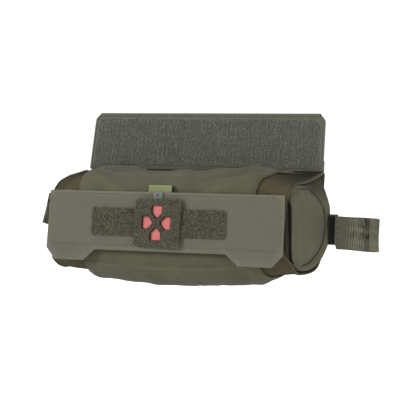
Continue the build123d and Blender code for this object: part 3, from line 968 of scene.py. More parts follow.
def mouth_lip(side, name):
    """The front wall of a mouth, turned in behind its rolled edge."""
    section = SLEEVE_END[side]
    normals = outward(section)
    front = clamp((-normals[:, 0] - 0.35) / 0.5)
    z = section[:, 1]
    reach = 1 - 0.42 * bell(z - 31, 7.0) - 0.35 * bell(z + 31, 6.0) + 0.06 * np.sin(z / 5.0)
    turn_in = np.linspace(0, 1, 13)[:, None]
    depth = 0.5 + 7.3 * turn_in * front * reach + 1.1 * turn_in * (1 - front)
    inner = section - normals * depth[..., None]
    x = (126.0 - 6.0 * FRONT_WALL + 4.9 * turn_in * front * FRONT_WALL
         - 0.9 * np.sin(math.pi * turn_in) * front - 2.0 * turn_in * (1 - front)
         + 0.25 * np.sin(inner[..., 1] / 6.5) * turn_in)
    return sheet(name, with_x(side * x, inner), 0.7, grid(turn_in * 6, GIRTH_AT), wrap=True,
                 flip=side > 0)


for side, side_name in SIDES:
    put(mouth_lip(side, f"mouth_lip_{side_name}"), "mouth_lip", "carrier", "elastic")

# ---------------------------------------------------------------- centre fabric of the sleeve
# (x, girth) where a fold starts, the same where it ends, its height and its width
FOLDS = [
    ((93, 46), (40, 70), 1.5, 5.0), ((93, 34), (26, 62), -1.3, 4.5),
    ((90, 22), (18, 48), 1.2, 5.0), ((84, 10), (10, 26), -0.9, 5.5),
    ((60, 58), (-6, 66), 0.7, 6.0), ((-88, 46), (-40, 70), 1.2, 5.0),
    ((-88, 32), (-30, 58), -1.0, 5.5), ((-70, 10), (10, 20), 0.7, 6.0),
    ((96, 146), (70, 176), 0.7, 6), ((-90, 148), (-66, 180), 0.7, 6),
    ((94, 160), (62, 196), -0.5, 6), ((-86, 168), (-50, 196), -0.5, 7)]
# (x, depth) of the shallow dip in the top, deepest left of the middle
TOP_DIP = [(-100, 0), (-66, 0.3), (-55, 3.4), (-46, 4.8), (-28, 4.6), (-8, 3.9), (8, 3.5),
           (22, 2.7), (34, 1.8), (61, 1.2), (90, 0.9), (100, 0.5)]


def fold_height(x, girth):
    height = np.zeros(np.broadcast(x, girth).shape)
    for (x0, girth0), (x1, girth1), tall, width in FOLDS:
        run_x, run_girth = x1 - x0, girth1 - girth0
        length = math.hypot(run_x, run_girth)
        along = ((x - x0) * run_x + (girth - girth0) * run_girth) / length ** 2
        along = np.clip(along, -0.1, 1.1)
        gap = np.hypot(x - (x0 + along * run_x), girth - (girth0 + along * run_girth))
        height += tall * bell(gap, width) * clamp(1.15 - np.abs(along - 0.35) * 1.1)
    return height


def centre_fabric():
    """Points and weave, from the rear top edge over the front to the rear bottom edge."""
    shown = np.where(END_Y < -2.4)[0]
    index = np.arange(shown[0] - 1, shown[-1] + 2) % AROUND
    left, right = fabric_edge(-1)[index], fabric_edge(1)[index]
    y, z, girth = END_Y[index], END_Z[index], GIRTH_AT[index]
    across = np.linspace(0, 1, 141)                 # made finer towards both seams
    swing = np.cos(np.pi * across)
    across = 0.5 - 0.5 * swing * (0.55 + 0.45 * np.abs(swing))
    across = (across - across[0]) / (across[-1] - across[0])
    x = -left + across[:, None] * (left + right)

    # sections are taken every half millimetre
    half_mm = np.round(x * 2).astype(int)
    points = np.zeros((*x.shape, 2))
    normals = np.zeros((*x.shape, 2))
    for key in np.unique(half_mm):
        section = sleeve_section(key / 2)
        rows, cols = np.where(half_mm == key)
        points[rows, cols] = section[index[cols]]
        normals[rows, cols] = outward(section)[index[cols]]

    seam_gap = np.minimum(x + left, right - x)
    lift = 0.5 + 2.1 * (1 - np.exp(-seam_gap / 3.2)) + 0.25 * bell(seam_gap - 7, 2.2)
    behind_panel = (y < -63) & (z > -36) & (z < 26)
    lift = lift * np.where(behind_panel, 0.3, 1.0)
    points = with_x(x, points + normals * lift[..., None])

    # puckers run in from the seams
    pucker = (0.42 * np.sin(girth / 3.9 + 1.3 * np.sin(girth / 17))
              * np.exp(-np.maximum(seam_gap - 1.5, 0) / 6.0) * clamp(seam_gap / 1.5))
    flat = points.reshape(-1, 3)
    rough = (smooth_noise(flat, 34.0, 3, octaves=3) * 1.6
             + smooth_noise(flat * np.array([0.5, 1, 1]), 11.0, 7) * 0.6).reshape(x.shape)
    calm = np.where((y < -63) & (z > -34) & (z < 24), 0.15, 1.0)
    calm = calm * clamp((girth - girth[0]) / 12) * clamp((girth[-1] - girth) / 12)
    relief = (2.3 * fold_height(x, girth) + rough) * clamp(seam_gap / 14) + pucker
    points -= grid_normals(points) * (relief * calm)[..., None]
    dip = look_up(TOP_DIP, points[..., 0])
    points[..., 2] -= (dip * clamp((points[..., 1] + 64) / 22)
                       * clamp((points[..., 2] - 20) / 10))
    return points, grid(x, girth)


def blend_at_fold(obj):
    """Bakes the piece's placement into its mesh."""
    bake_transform(obj)


fabric, fabric_weave = centre_fabric()
blend_at_fold(put(sheet("sleeve_fabric", fabric, 0.9, fabric_weave, flip=True),
                  "sleeve_fabric", None, "weave", "centre_fabric"))
fabric_normals = -grid_normals(fabric)
rows = [(fabric[i], fabric_normals[i]) for i in (3, -4)]
blend_at_fold(put(stitches("sleeve_fabric_stitches", rows, pitch=2.7, length=2.0, radius=0.24,
                           lift=0.0), "thread_olive", None, "weave"))


def lower_top(points, half):
    """The middle of the top lies lower, clear of the dip in the fabric."""
    points[..., 2] -= (1.2 * clamp((points[..., 2] - 28) / 7)
                       * clamp((half - np.abs(points[..., 0])) / 14))


# lining inside the sleeve, seen only at its ends
stations = np.array([-124, -110, -90, -60, 0, 60, 90, 110, 124.0])
lining = with_x(stations[:, None],
                np.array([sleeve_section(x, -2.2 - 0.6 * middle_share(x)) for x in stations]))
lower_top(lining, half=90)
put(sheet("sleeve_lining", lining, 0.35, grid(lining[..., 0], GIRTH_AT), wrap=True, flip=True),
    "lining", "carrier", "weave")


# ---------------------------------------------------------------- front panel
def leaning(x, up, out, foot_y, foot_z, lean):
    """Point on a plane that leans back by an angle; out is towards the front."""
    return grid(x, foot_y + up * math.sin(lean) - out * math.cos(lean),
                foot_z + up * math.cos(lean) + out * math.sin(lean))


def leaning_normal(lean):
    return np.array([0.0, -math.cos(lean), math.sin(lean)])


def on_front(x, up, out):
    """Up is measured from the notch line, out from the panel's front face."""
    edge = np.abs(x) / HALF_WIDTH
    wave = (0.45 * np.sin(x / 31.0 + 0.6) * np.sin(up / 24.0 + 0.4) * (up / 40.0)
            + 0.5 * clamp((up - 30) / 22) * np.sin(x / 44.0 + 1.0))
    x = x + (2.6 * np.clip(up / 50.0, -0.3, 1.1) - 0.8) * np.where(x < 0, edge, 0.0)
    bow = PANEL_BOW * edge ** 2 * np.where(x > 0, 0.74, 1.0)
    return leaning(x, up, out + wave * 0.55 - bow, PANEL_Y, PANEL_Z, PANEL_LEAN)


FRONT_NORMAL = leaning_normal(PANEL_LEAN)


def row_on(surface, points, height=0.0, normal=FRONT_NORMAL, step=0.8):
    """A row for stitches, laid on a surface."""
    return place(surface, resample(points, step), height), normal


panel_outline = rounded(
    [(-HALF_WIDTH, 0.4), (-114.5, PANEL_BOTTOM), (-82, PANEL_BOTTOM), (-69.2, 0), (69.2, 0),
     (82, PANEL_BOTTOM), (114.5, PANEL_BOTTOM), (HALF_WIDTH, 0.4),
     (HALF_WIDTH, PANEL_TOP + 0.8), (-HALF_WIDTH, PANEL_TOP + 0.8)],
    [1.2, 1.2, 2.0, 1.2, 1.2, 2.0, 1.2, 1.2, 1.0, 1.0], arc=3)
put(plate("front_panel_laminate", panel_outline, PANEL_THICK, on_front, step=3.2, bevel=0.22,
          base=-PANEL_THICK), "laminate", "carrier", "laminate", "front_panel")

SEAM_X = HALF_WIDTH - 2.7
rows = [row_on(on_front, line) for line in (
    [(-SEAM_X, PANEL_TOP - 1.5), (SEAM_X - 2.5, PANEL_TOP - 1.5)],
    [(-SEAM_X, 4.3), (HALF_WIDTH - 6, 4.3)],
    [(HALF_WIDTH - 6, 4.6), (SEAM_X, 8.0)])]
put(stitches("front_panel_stitches", rows, pitch=2.9, length=1.8, radius=0.42),
    "thread_panel", "carrier", "laminate")
needle_holes("front_panel_needle_holes", rows, 2.9, "carrier", radius=0.55)
for side, side_name in SIDES:
    zigzag = [(side * (HALF_WIDTH - 2.4) + (0.85 if i % 2 else -0.85), up)
              for i, up in enumerate(np.arange(4.5, PANEL_TOP - 2.2, 1.9))]
    put(stitches(f"front_panel_zigzag_{side_name}", [row_on(on_front, zigzag, step=0.4)],
                 pitch=2.95, length=2.5, radius=0.32, jitter=0.12),
        "thread_straw", "carrier", "laminate")
tack = [(HALF_WIDTH - 1.3 - 2.6 * math.sin(i * 2.4) ** 2 - 0.3 * i, PANEL_TOP - 1.6 - 0.32 * i)
        for i in range(14)]
put(stitches("front_panel_corner_tack", [row_on(on_front, tack, step=0.3)],
             pitch=1.1, length=1.9, radius=0.3, jitter=0.3),
    "thread_straw", "carrier", "laminate")


# ---------------------------------------------------------------- loop strip
def pile_top(rough, fall, seed):
    """Rough pile that falls off at its cut edge."""
    def top(x, y, edge):
        relief = smooth_noise(np.stack([x, y], 1), 1.5, seed) * rough
        return relief * np.clip(edge, 0.1, 1) - fall * np.exp(-edge / 0.7)
    return top


strip = rounded(rect(STRIP_X - STRIP_HALF, STRIP_X + STRIP_HALF,
                     STRIP_UP - STRIP_HEIGHT / 2, STRIP_UP + STRIP_HEIGHT / 2), 3.0, arc=6)
put(plate("loop_strip_pile", strip, 1.5, on_front, step=0.9, bevel=0.35,
          top=pile_top(rough=0.42, fall=0.5, seed=2), edge_step=0.9, base=0.06),
    "loop_pile", "carrier", "loop_tape", "loop_field")
put(stitches("loop_strip_stitches", [row_on(on_front, closed(inset(strip, 1.5)), 1.25)],
             pitch=2.6, length=1.9, radius=0.2, lift=-0.05),
    "thread_olive", "carrier", "loop_tape")


def clear_of_marker(points):
    return (points[:, 0] <= MARKER_LEFT + 0.5) | (points[:, 0] >= MARKER_RIGHT - 0.5)


put(curls("loop_strip_curls", strip, clear_of_marker, 7000, on_front, height=1.35, seed=21,
          size=(0.5, 0.95)), "loop_filament", "carrier", "loop_tape")

# ---------------------------------------------------------------- marker
# a pile face with four windows over a coral film
MARKER_CENTRE = np.array([0.8, STRIP_UP])
WINDOW = np.array([(15.2, 5.6), (8.7, 5.6), (4.2, 1.1), (4.2, -1.1), (8.7, -5.6), (15.2, -5.6)])


def on_marker(x, up, out):
    """The marker sits a little askew on its strip."""
    down = (STRIP_UP + MARKER_HALF - up) / (2 * MARKER_HALF)
    return on_front(x - 0.9 - 2.2 * (down - 0.5),
                    up - 0.045 * (x + 22) * down + 0.010 * x + 0.4, out)


def window(quarter):
    cosine, sine = math.cos(quarter * math.pi / 2), math.sin(quarter * math.pi / 2)
    turned = WINDOW @ np.array([[cosine, sine], [-sine, cosine]])
    return rounded(turned + MARKER_CENTRE, 0.5, arc=2)


marker = rounded(rect(MARKER_LEFT, MARKER_RIGHT, STRIP_UP - MARKER_HALF, STRIP_UP + MARKER_HALF),
                 [2.0, 3.0, 2.0, 2.0])
windows = [window(i) for i in range(4)]
put(plate("marker_face", marker, 2.1, on_marker, step=0.85, holes=windows,
          top=pile_top(rough=0.38, fall=0.4, seed=9), edge_step=0.85, base=2.9),
    "patch_pile", "id_patch", "patch_laminate", "patch_face")


def clear_of_windows(points):
    return np.all([~inside(points, hole) & (dist_to(points, hole) > 0.5) for hole in windows],
                  axis=0)


put(curls("marker_curls", marker, clear_of_windows, 3600, on_marker, height=4.8, seed=22,
          size=(0.45, 0.85)), "loop_filament", "id_patch", "patch_laminate")
put(plate("marker_film", inset(marker, 2.6), 0.35, on_marker, step=2.5, bevel=0.12, base=2.5),
    "coral_film", "id_patch", "patch_red", "patch_red_layer")
put(plate("marker_hook_back", inset(marker, 0.7), 0.5, on_marker, step=2.5, bevel=0.2, base=1.95),
    "black_tape", "id_patch", "hook_tape", "patch_hook_backing")
# a narrow seared rim round each window
RIM_PROFILE = np.array([(-0.2, -1.0), (0.22, -1.0), (0.26, 0.7), (0.0, 1.0), (-0.22, 0.7)])
for i, hole in enumerate(windows):
    path = place(on_marker, resample(hole, 0.7, loop=True), 3.9)
    put(sweep(f"marker_window_rim_{i}", path, FRONT_NORMAL, RIM_PROFILE, loop=True),
        "seared_rim", "id_patch", "patch_laminate")


# ---------------------------------------------------------------- label and keeper
def on_label(x, up, out):
    """Behind the panel's top edge; the free part above it bends back."""
    free = up > PANEL_TOP
    bend = 0.012 * (up - PANEL_TOP) ** 2 * free
    return on_front(x, up, out - 2.9 - bend - 0.2 * np.sin((x + 8) / 9.0) * free)


put(plate("plain_label", rounded(rect(-13.2, 11.2, PANEL_TOP - 5.0, PANEL_TOP + 7.1), 0.7, arc=3),
          1.0, on_label, step=1.2, bevel=0.2, base=0.1),
    "label_tape", "carrier", "label", "side_label")
# black strip at the label's right end: painted shadow in the open side of the folded label
put(plate("plain_label_painted_shadow",
          rounded(rect(11.0, 13.7, PANEL_TOP - 5.0, PANEL_TOP + 6.6), 0.9, arc=3),
          1.5, on_label, step=1.0, bevel=0.4, base=-0.1), "black_tape", "carrier", "label")
PINHOLE = np.array([-1.0, PANEL_TOP - 2.1])
put(plate("label_keeper_block",
          rounded(rect(-5.5, 3.9, PANEL_TOP - 5.7, PANEL_TOP + 1.3), 1.0, arc=4),
          1.9, on_front, step=0.8, bevel=0.45, holes=[PINHOLE + ellipse(0.85, 0.85, 14)],
          edge_step=0.6, base=0.1), "keeper_rubber", "carrier", "keeper", "label_keeper")
put(plate("label_keeper_pin", PINHOLE + ellipse(0.8, 0.8, 12), 0.5, on_front, step=0.8,
          bevel=0.1, base=0.2), "pinhole_dark", "carrier", "keeper")


# ---------------------------------------------------------------- upright flap
def on_flap(x, up, out):
    """Up is measured from the fold, out from the flap's rear face."""
    wave = 0.35 * np.sin(x / 52.0 + 0.4) * (up / 50.0) + 0.2 * np.sin(x / 21.0 + up / 30.0)
    out = out + wave * clamp((up - 2) / 10)
    return leaning(x * 0.995 + 0.9 + 2.4 * (up / 52.0), up, out, 0.0, FOLD_Z, FLAP_LEAN)


FLAP_NORMAL = leaning_normal(FLAP_LEAN)
flap = rounded([(-HALF_WIDTH, 0.2), (HALF_WIDTH, 1.3), (HALF_WIDTH - 1.9, FLAP_HEIGHT - 5.5),
                (HALF_WIDTH - 7.4, FLAP_HEIGHT + 0.9), (-HALF_WIDTH + 7.4, FLAP_HEIGHT + 0.5),
                (-HALF_WIDTH + 1.9, FLAP_HEIGHT - 5.2)], [1.0, 1.0, 2.0, 2.0, 2.0, 2.0], arc=4)
put(plate("mount_flap_laminate", flap, FLAP_THICK, on_flap, step=3.4, bevel=0.55),
    "laminate_flap", "mount_flap", "laminate",
    "mount_back_sheet", "mount_face_sheet", "mount_stiffener")
hook_field = rounded(
    [(-HALF_WIDTH + 4.4, 4.8), (HALF_WIDTH - 1.4, 3.4), (HALF_WIDTH - 1.0, 5.6),
     (HALF_WIDTH - 3.0, FLAP_HEIGHT - 7.4), (HALF_WIDTH - 8.4, FLAP_HEIGHT - 3.2),
     (-HALF_WIDTH + 9.4, FLAP_HEIGHT - 3.6), (-HALF_WIDTH + 5.4, FLAP_HEIGHT - 8.4),
     (-HALF_WIDTH + 3.2, 5.6)], 1.2, arc=3)
put(plate("hook_strip_base", hook_field, 0.75, on_flap, bevel=0.2, base=FLAP_THICK + 0.02),
    "hook_base", "mount_flap", "hook_tape", "hook_field")
put(hooks("hook_strip_hooks", hook_field, on_flap, base=4.0, pitch_x=1.6, pitch_y=1.4,
          height=1.1, radius=0.185, seed=3), "hook_filament", "mount_flap", "hook_tape")

border = [(HALF_WIDTH - 8.8, FLAP_HEIGHT - 1.7), (-HALF_WIDTH + 8.2, FLAP_HEIGHT - 1.7),
          (-HALF_WIDTH + 3.6, FLAP_HEIGHT - 6.4), (-HALF_WIDTH + 2.2, 2.7),
          (HALF_WIDTH - 2.6, 2.4)]
# on the right the row runs through the hook tape
through_hooks = [(HALF_WIDTH - 5.4, 5.0), (HALF_WIDTH - 6.6, FLAP_HEIGHT - 8.0)]
rows = [row_on(on_flap, border, FLAP_THICK, FLAP_NORMAL),
        row_on(on_flap, through_hooks, 4.75, FLAP_NORMAL)]
put(stitches("mount_flap_stitches", rows, radius=0.30), "thread", "mount_flap", "laminate")
needle_holes("mount_flap_needle_holes", rows[:1], 3.0, "mount_flap", radius=0.32)
put(stitches("mount_flap_rear_stitches",
             [row_on(on_flap, closed(inset(flap, 4.0)), normal=-FLAP_NORMAL)],
             pitch=2.8, length=2.0, radius=0.24, lift=0.1), "thread", "mount_flap", "laminate")


# ---------------------------------------------------------------- back sheet and fold
def on_back(x, z, out):
    """Out is towards the rear."""
    return grid(x, out - 1.85 + 0.175 * np.sin(x / 40.0) * np.sin(z / 26.0 + 0.5), z)


BACK_NORMAL = np.array([0.0, 1.0, 0.0])
BACK_THICK = 1.6
back = rounded([(-123, -22.0), (-109, -36.0), (109, -36.0), (124.6, -20.0), (125.2, 47.3),
                (-121.0, 47.3), (-124.6, 44.6)], [2, 2, 2, 2, 1, 1, 1], arc=4)
put(plate("back_sheet_laminate", back, BACK_THICK, on_back, step=4.0),
    "back_laminate", "carrier", "laminate", "back_sheet")
lines = [closed(inset(back, margin)) for margin in (2.4, 4.2)]
lines += [[(-118, z), (118, z)] for z in (18.0, -8.0)]
put(stitches("back_sheet_stitches",
             [row_on(on_back, line, BACK_THICK, BACK_NORMAL) for line in lines],
             pitch=2.9, length=2.0, radius=0.24), "thread", "carrier", "laminate")


def fold_strip():
    """Soft strip behind the fold that joins the flap to the back sheet."""
    x = np.linspace(-123.8, 124.9, 92)[:, None]
    z = np.linspace(36.0, 58.0, 34)
    above = z - FOLD_Z
    share = smooth(clamp((above + 3) / 6.0))
    flap_y = above * math.sin(FLAP_LEAN) + 0.5 * math.cos(FLAP_LEAN)
    y = 0.55 * (1 - share) + flap_y * share + 0.18 * np.sin(x / 9.0) * bell(above, 3.0)
    return sheet("fold_strip_rear", grid(x, y, z), 0.8, grid(x, z))


strip_obj = put(fold_strip(), "laminate_flap", None, "laminate")
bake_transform(strip_obj)
rows = [(grid(np.linspace(-119, 119, 300), 0.62, z), BACK_NORMAL) for z in (39.0, 41.5)]
put(stitches("fold_strip_stitches", rows, pitch=2.8, length=2.0, radius=0.24, lift=0.05),
    "thread", "carrier", "laminate")

# ---------------------------------------------------------------- insert body
LOBE_CENTRE = np.array([-37.0, 2.0])
# (y, z) seam of the end lobe: a tall bow at the rear, nearly straight at the front
LOBE = rounded(
    [(-55.4, -33.8), (-48.9, -34.0), (-36.0, -31.4), (-24.0, -25.2), (-15.8, -17.0),
     (-11.6, -7.6), (-9.8, 1.7), (-11.0, 12.4), (-14.6, 21.6), (-20.0, 29.2), (-28.5, 34.6),
     (-38.0, 38.4), (-50.0, 40.0), (-58.4, 33.0), (-57.0, 21.0), (-56.7, 5.0), (-57.1, -14.0)],
    [2.5, 4, 5, 5, 5, 5, 5, 5, 5, 5, 5, 4, 4, 3.5, 5, 5, 4], arc=6)


def polar(outline, angles):
    """Distance from the lobe's centre to an outline, by angle."""
    points = resample(outline, 0.5, loop=True) - LOBE_CENTRE
    around = np.arctan2(points[:, 1], points[:, 0])
    order = np.argsort(around)
    around, radius = around[order], np.linalg.norm(points, axis=1)[order]
    return np.interp(angles, np.r_[around - TURN, around, around + TURN], np.tile(radius, 3))


def from_centre(angles, radius):
    return LOBE_CENTRE + np.stack([np.cos(angles), np.sin(angles)], 1) * radius[:, None]


def lobe_outline(side):
    """The lobe's seam, softened at the rear and kept inside the insert."""
    angles = np.linspace(-math.pi, math.pi, 261)[:-1]
    radius = polar(LOBE, angles)
    count = len(radius)
    kernel = np.hanning(27) / np.hanning(27).sum()
    soft = np.convolve(np.tile(radius, 3), kernel, "same")[count:2 * count]
    rear = clamp((np.cos(angles) + 0.2) / 0.3)
    radius = radius * (1 - rear) + soft * rear
    if side < 0:
        radius = np.minimum(radius, polar(INSERT_END[-1], angles) - 4.2)
    radius = np.minimum(radius, polar(INSERT_END[1], angles) - 2.4)
    return resample(from_centre(angles, radius), 2.0, loop=True)


LOBE_BEHIND_CREST = 2.9


def crest(y, z):
    """How far the rim of the insert's end stands out along x."""
    rear = clamp((y + 61) / 46.0)
    top = clamp((z - 17.0) / 24.0) ** 1.3 * clamp((y + 48) / 26.0)
    low = clamp((-z - 10.0) / 18.0)
    return 127.4 + 8.0 * rear ** 0.85 - 8.6 * top - 1.6 * low * rear


WALL_X = [0.0, 20, 40, 60, 78, 92, 104, 112, 118]
# (x from the crest, outward offset) over the rim
RIM = [(-6.5, 0.0), (-4.0, 0.0), (-2.2, -0.25), (-0.9, -0.9), (-0.15, -1.9)]
# share of the way from the rim to the lobe's seam
FALL = [0.14, 0.32, 0.5, 0.68, 0.84, 1.0, 1.12]


def insert_half(side):
    """Rings from the middle of the insert to one end."""
    end = INSERT_END[side]
    normals = outward(end)
    front = clamp((-normals[:, 0] - 0.55) / 0.35) * clamp((34.0 - np.abs(end[:, 1])) / 6.0)
    rim_x = crest(*end.T) * (1 - front) + 122.0 * front
    offset = end - LOBE_CENTRE
    angles = np.arctan2(offset[:, 1], offset[:, 0])
    seam = from_centre(angles, polar(lobe_outline(side), angles) * 0.985)
    girth = arc_length(end)
    rings = []
    for x in WALL_X:
        far = clamp((x - 98) / 22.0)
        share = min(1.0, x / 90.0)
        section = 0.5 * (INSERT_END[1] + INSERT_END[-1]) * (1 - share) + end * share
        out = -3.8 * front * far * far + 0.25 * np.sin(girth / 15.0 + x * 0.05)
        rings.append(with_x(side * x, section + outward(section) * out[:, None]))
    rear = clamp((end[:, 0] + 10.0) / 4.0)
    for step_x, out in RIM:
        ring = end + normals * (out * (1 - 0.45 * rear) - 3.8 * front)[:, None]
        rings.append(with_x(side * (rim_x + step_x), ring))
    seam_x = crest(*seam.T) - LOBE_BEHIND_CREST
    seam_x = seam_x * (1 - front) + np.minimum(seam_x, 121.0) * front
    for share in FALL:
        bulge = 0.9 * math.sin(math.pi * min(share, 1.0)) - 12.0 * max(0.0, share - 1.0)
        x = rim_x * (1 - share) + seam_x * share + bulge * (1 - front)
        rings.append(with_x(side * x, ring * (1 - share) + seam * share))
    return np.array(rings)


insert_points = np.concatenate([insert_half(-1)[::-1], insert_half(1)[1:]])
lower_top(insert_points, half=88)
insert_obj = sheet("insert_body", insert_points, 0.8,
                   grid(insert_points[..., 0], arc_length(INSERT_END[1])), wrap=True, flip=True)
subdivision = insert_obj.modifiers.new("sub", "SUBSURF")
subdivision.levels = subdivision.render_levels = 1
put(insert_obj, "insert_rim_fabric", "insert", "weave", "insert_shell", "insert_padding",
    "packed_filling", "organiser_panel", "organiser_elastic_loops")


# ---------------------------------------------------------------- insert ends
def lobe_bow(line, front_y):
    """The part of a lobe line behind front_y, without its top front corner."""
    kept = (line[:, 0] > front_y) & ~((line[:, 1] > 10) & (line[:, 0] < -39.0))
    start = int(np.argmax(~kept))                   # begin in the part that is left out
    return np.roll(line, -start, 0)[np.roll(kept, -start)]


def lobe_top(y, z, edge):
    """Padded height, with a groove round it and a flatter front."""
    tall = 3.1 * (1 - np.exp(-edge / 4.2)) - 0.3 * bell(edge - 5.0, 1.1)
    front = clamp((-y - 51) / 6)
    return tall * (1 - 0.25 * front) + 0.35 * smooth_noise(np.stack([y, z], 1), 13.0, 4)


def gusset_top(y, z, edge):
    return 0.8 * (1 - np.exp(-edge / 6)) + 0.3 * smooth_noise(np.stack([y, z], 1), 14.0, 6)


def insert_end(side, side_name):
    """Padded D-shaped lobe inside the rim, its cord and stitches, and the gusset behind it."""
    outline = lobe_outline(side)
    normal = np.array([float(side), 0, 0])

    def on_end(y, z, out):
        fold = (0.7 * bell(y + 50 + 0.10 * z, 3.8) - 0.8 * bell(y + 44 + 0.12 * z, 3.4)
                + 0.35 * bell(y + 38 + 0.16 * z, 4.0))
        # the top front corner is tucked in behind the lip
        tuck = 4.4 * clamp((z - 19.0) / 14.0) * clamp((-y - 45.0) / 9.0)
        return grid(side * (crest(y, z) - LOBE_BEHIND_CREST + out + fold - tuck), y, z)

    def on_gusset(y, z, out):
        return grid(side * (118.0 + out), y, z)

    def on_padding(points):
        height = lobe_top(points[:, 0], points[:, 1], dist_to(points, outline))
        return place(on_end, points, height), normal

    def blend(obj):
        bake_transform(obj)

    blend(put(plate(f"insert_end_lobe_{side_name}", outline, 3.0, on_end, step=1.5, bevel=0.8,
                    top=lobe_top, edge_step=1.3, base=-3.0),
              "insert_fabric", None, "laminate", f"end_flap_{side_name}"))
    # dark cord in the groove round the lobe's bow; its dark colour is painted shadow of the groove
    path = place(on_end, lobe_bow(outline, -54.0), 0.0)
    put(sweep(f"insert_end_cord_{side_name}", resample(path, 1.2), normal,
              ellipse(0.8, 0.55, 8)), "groove_shadow_cord", "insert", "binding")
    ring = resample(lobe_bow(inset(outline, 4.2), -50.0), 0.9)
    z = np.linspace(-15, 14.5, 60)
    bars = [np.stack([y + 0.05 * z, z], 1) for y in (-32.6, -24.4)]
    for title, lines, material, radius, length in (
            ("stitches", [ring], "thread_olive", 0.22, 1.9), ("bars", bars, "thread", 0.34, 2.1)):
        blend(put(stitches(f"insert_end_{title}_{side_name}", [on_padding(line) for line in lines],
                           pitch=2.9, length=length, radius=radius, lift=0.05),
                  material, None, "laminate"))
    gusset = inset(resample(INSERT_END[side], 2.0, loop=True), 5.2)
    put(plate(f"insert_gusset_{side_name}", gusset, 1.2, on_gusset, top=gusset_top),
        "lining", "insert", "weave", f"end_gusset_{side_name}")


def slot_shadow_sheet(side, side_name):
    """Near-black sheet of painted shadow in the slot between the front wall of a mouth and the
    lobe.
    """
    z = np.linspace(-29.0, 35.0 if side > 0 else 24.0, 60)
    seam = lobe_outline(side)
    seam = seam[seam[:, 0] < -45]
    seam = seam[np.argsort(seam[:, 1])]
    rear = np.interp(z, seam[:, 1], seam[:, 0]) - 0.5
    if side > 0:
        front = rear - 2.9 - 0.7 * np.sin(z / 7.5)
        x = 126.1 - 4.4 * clamp((z - 19.0) / 14.0)
    else:
        front = np.full(z.shape, -59.8)
        x = 124.3
    across = np.linspace(0, 1, 12)[:, None]
    y = front + across * (np.maximum(rear, front + 0.8) - front)
    put(sheet(f"insert_end_painted_shadow_{side_name}", grid(side * x, y, z), 0.4, grid(y, z),
              flip=side < 0), "painted_slot_shadow", "insert", "weave")


for side, side_name in SIDES:
    insert_end(side, side_name)
for side, side_name in SIDES:
    slot_shadow_sheet(side, side_name)

# ---------------------------------------------------------------- closure of the insert
# it covers the long opening in the insert's front wall
CLOSURE_LEAN = math.radians(2.67)


def on_closure(x, up, out):
    return leaning(x, up, out, -60.36, 0.0, CLOSURE_LEAN)


tape = rounded(rect(-107, 107, -16.5, 8.5), 2.5, arc=4)
cover = rounded(rect(-113, 113, -17.0, 31.0), 2.5, arc=4)
for name, base, thick, outline, material, slot, cad_node in (
        ("closure_loop_strip", 0.35, 0.45, tape, "loop_pile", "loop_tape", "closure_loop_tape"),
        ("closure_hook_strip", 0.9, 0.6, tape, "hook_base", "hook_tape", "closure_hook_tape"),
        ("closure_flap_laminate", 1.65, 0.9, cover, "laminate_flap", "laminate",
         "closure_flap")):
    put(plate(name, outline, thick, on_closure, step=4.0, bevel=0.2, base=base),
        material, "insert", slot, cad_node)
rows = [row_on(on_closure, line, 2.5, leaning_normal(CLOSURE_LEAN))
        for line in (closed(inset(cover, 2.2)), [(-108, 9.5), (108, 9.5)])]
put(stitches("closure_flap_stitches", rows, pitch=2.9, length=2.0, radius=0.24),
    "thread", "insert", "laminate")

# two long seams, at these shares of the way round the insert
rows = []
for share in (0.02, 0.62):
    index = int(AROUND * share)
    path = insert_points[:, index]
    path = path[np.abs(path[:, 0]) < 119]
    normal = with_x(0.0, outward(INSERT_END[1])[index])
    rows.append((resample(path + normal * 0.1, 2.0), normal))
put(stitches("insert_body_stitches", rows, pitch=2.9, length=2.0, radius=0.24),
    "thread", "insert", "weave")

# ---------------------------------------------------------------- pull tabs
LEFT_TILT = math.radians(16.8)
LEFT_PIVOT_X = -131.0
GRIP_SLOPE = 0.035                  # fall of the grip towards its end
TAB_NORMAL = np.array([0.0, -1.0, 0.0])


def to_side(side, points):
    """Right-hand tab points; for the left they are mirrored and turned up at the strap's end."""
    if side > 0:
        return points
    x, y, z = np.moveaxis(points, -1, 0)
    x, z = -x, z + 4.0
    angle = LEFT_TILT * smooth(clamp((-x - 122) / 12.0))
    x = x - LEFT_PIVOT_X
    return grid(LEFT_PIVOT_X + x * np.cos(angle) + z * np.sin(angle), y,
                0.6 - x * np.sin(angle) + z * np.cos(angle))


def strap_root(side, name, end_x):
    x = np.linspace(112, end_x, 60)[:, None]
    z = np.linspace(-14.3, 11.4, 36)
    points = grid(x, TAB_Y + 0.4 - 0.12 * np.sin(TURN * x / 1.7), z)
    return sheet(name, to_side(side, points), 1.5, grid(x, z), flip=side > 0)


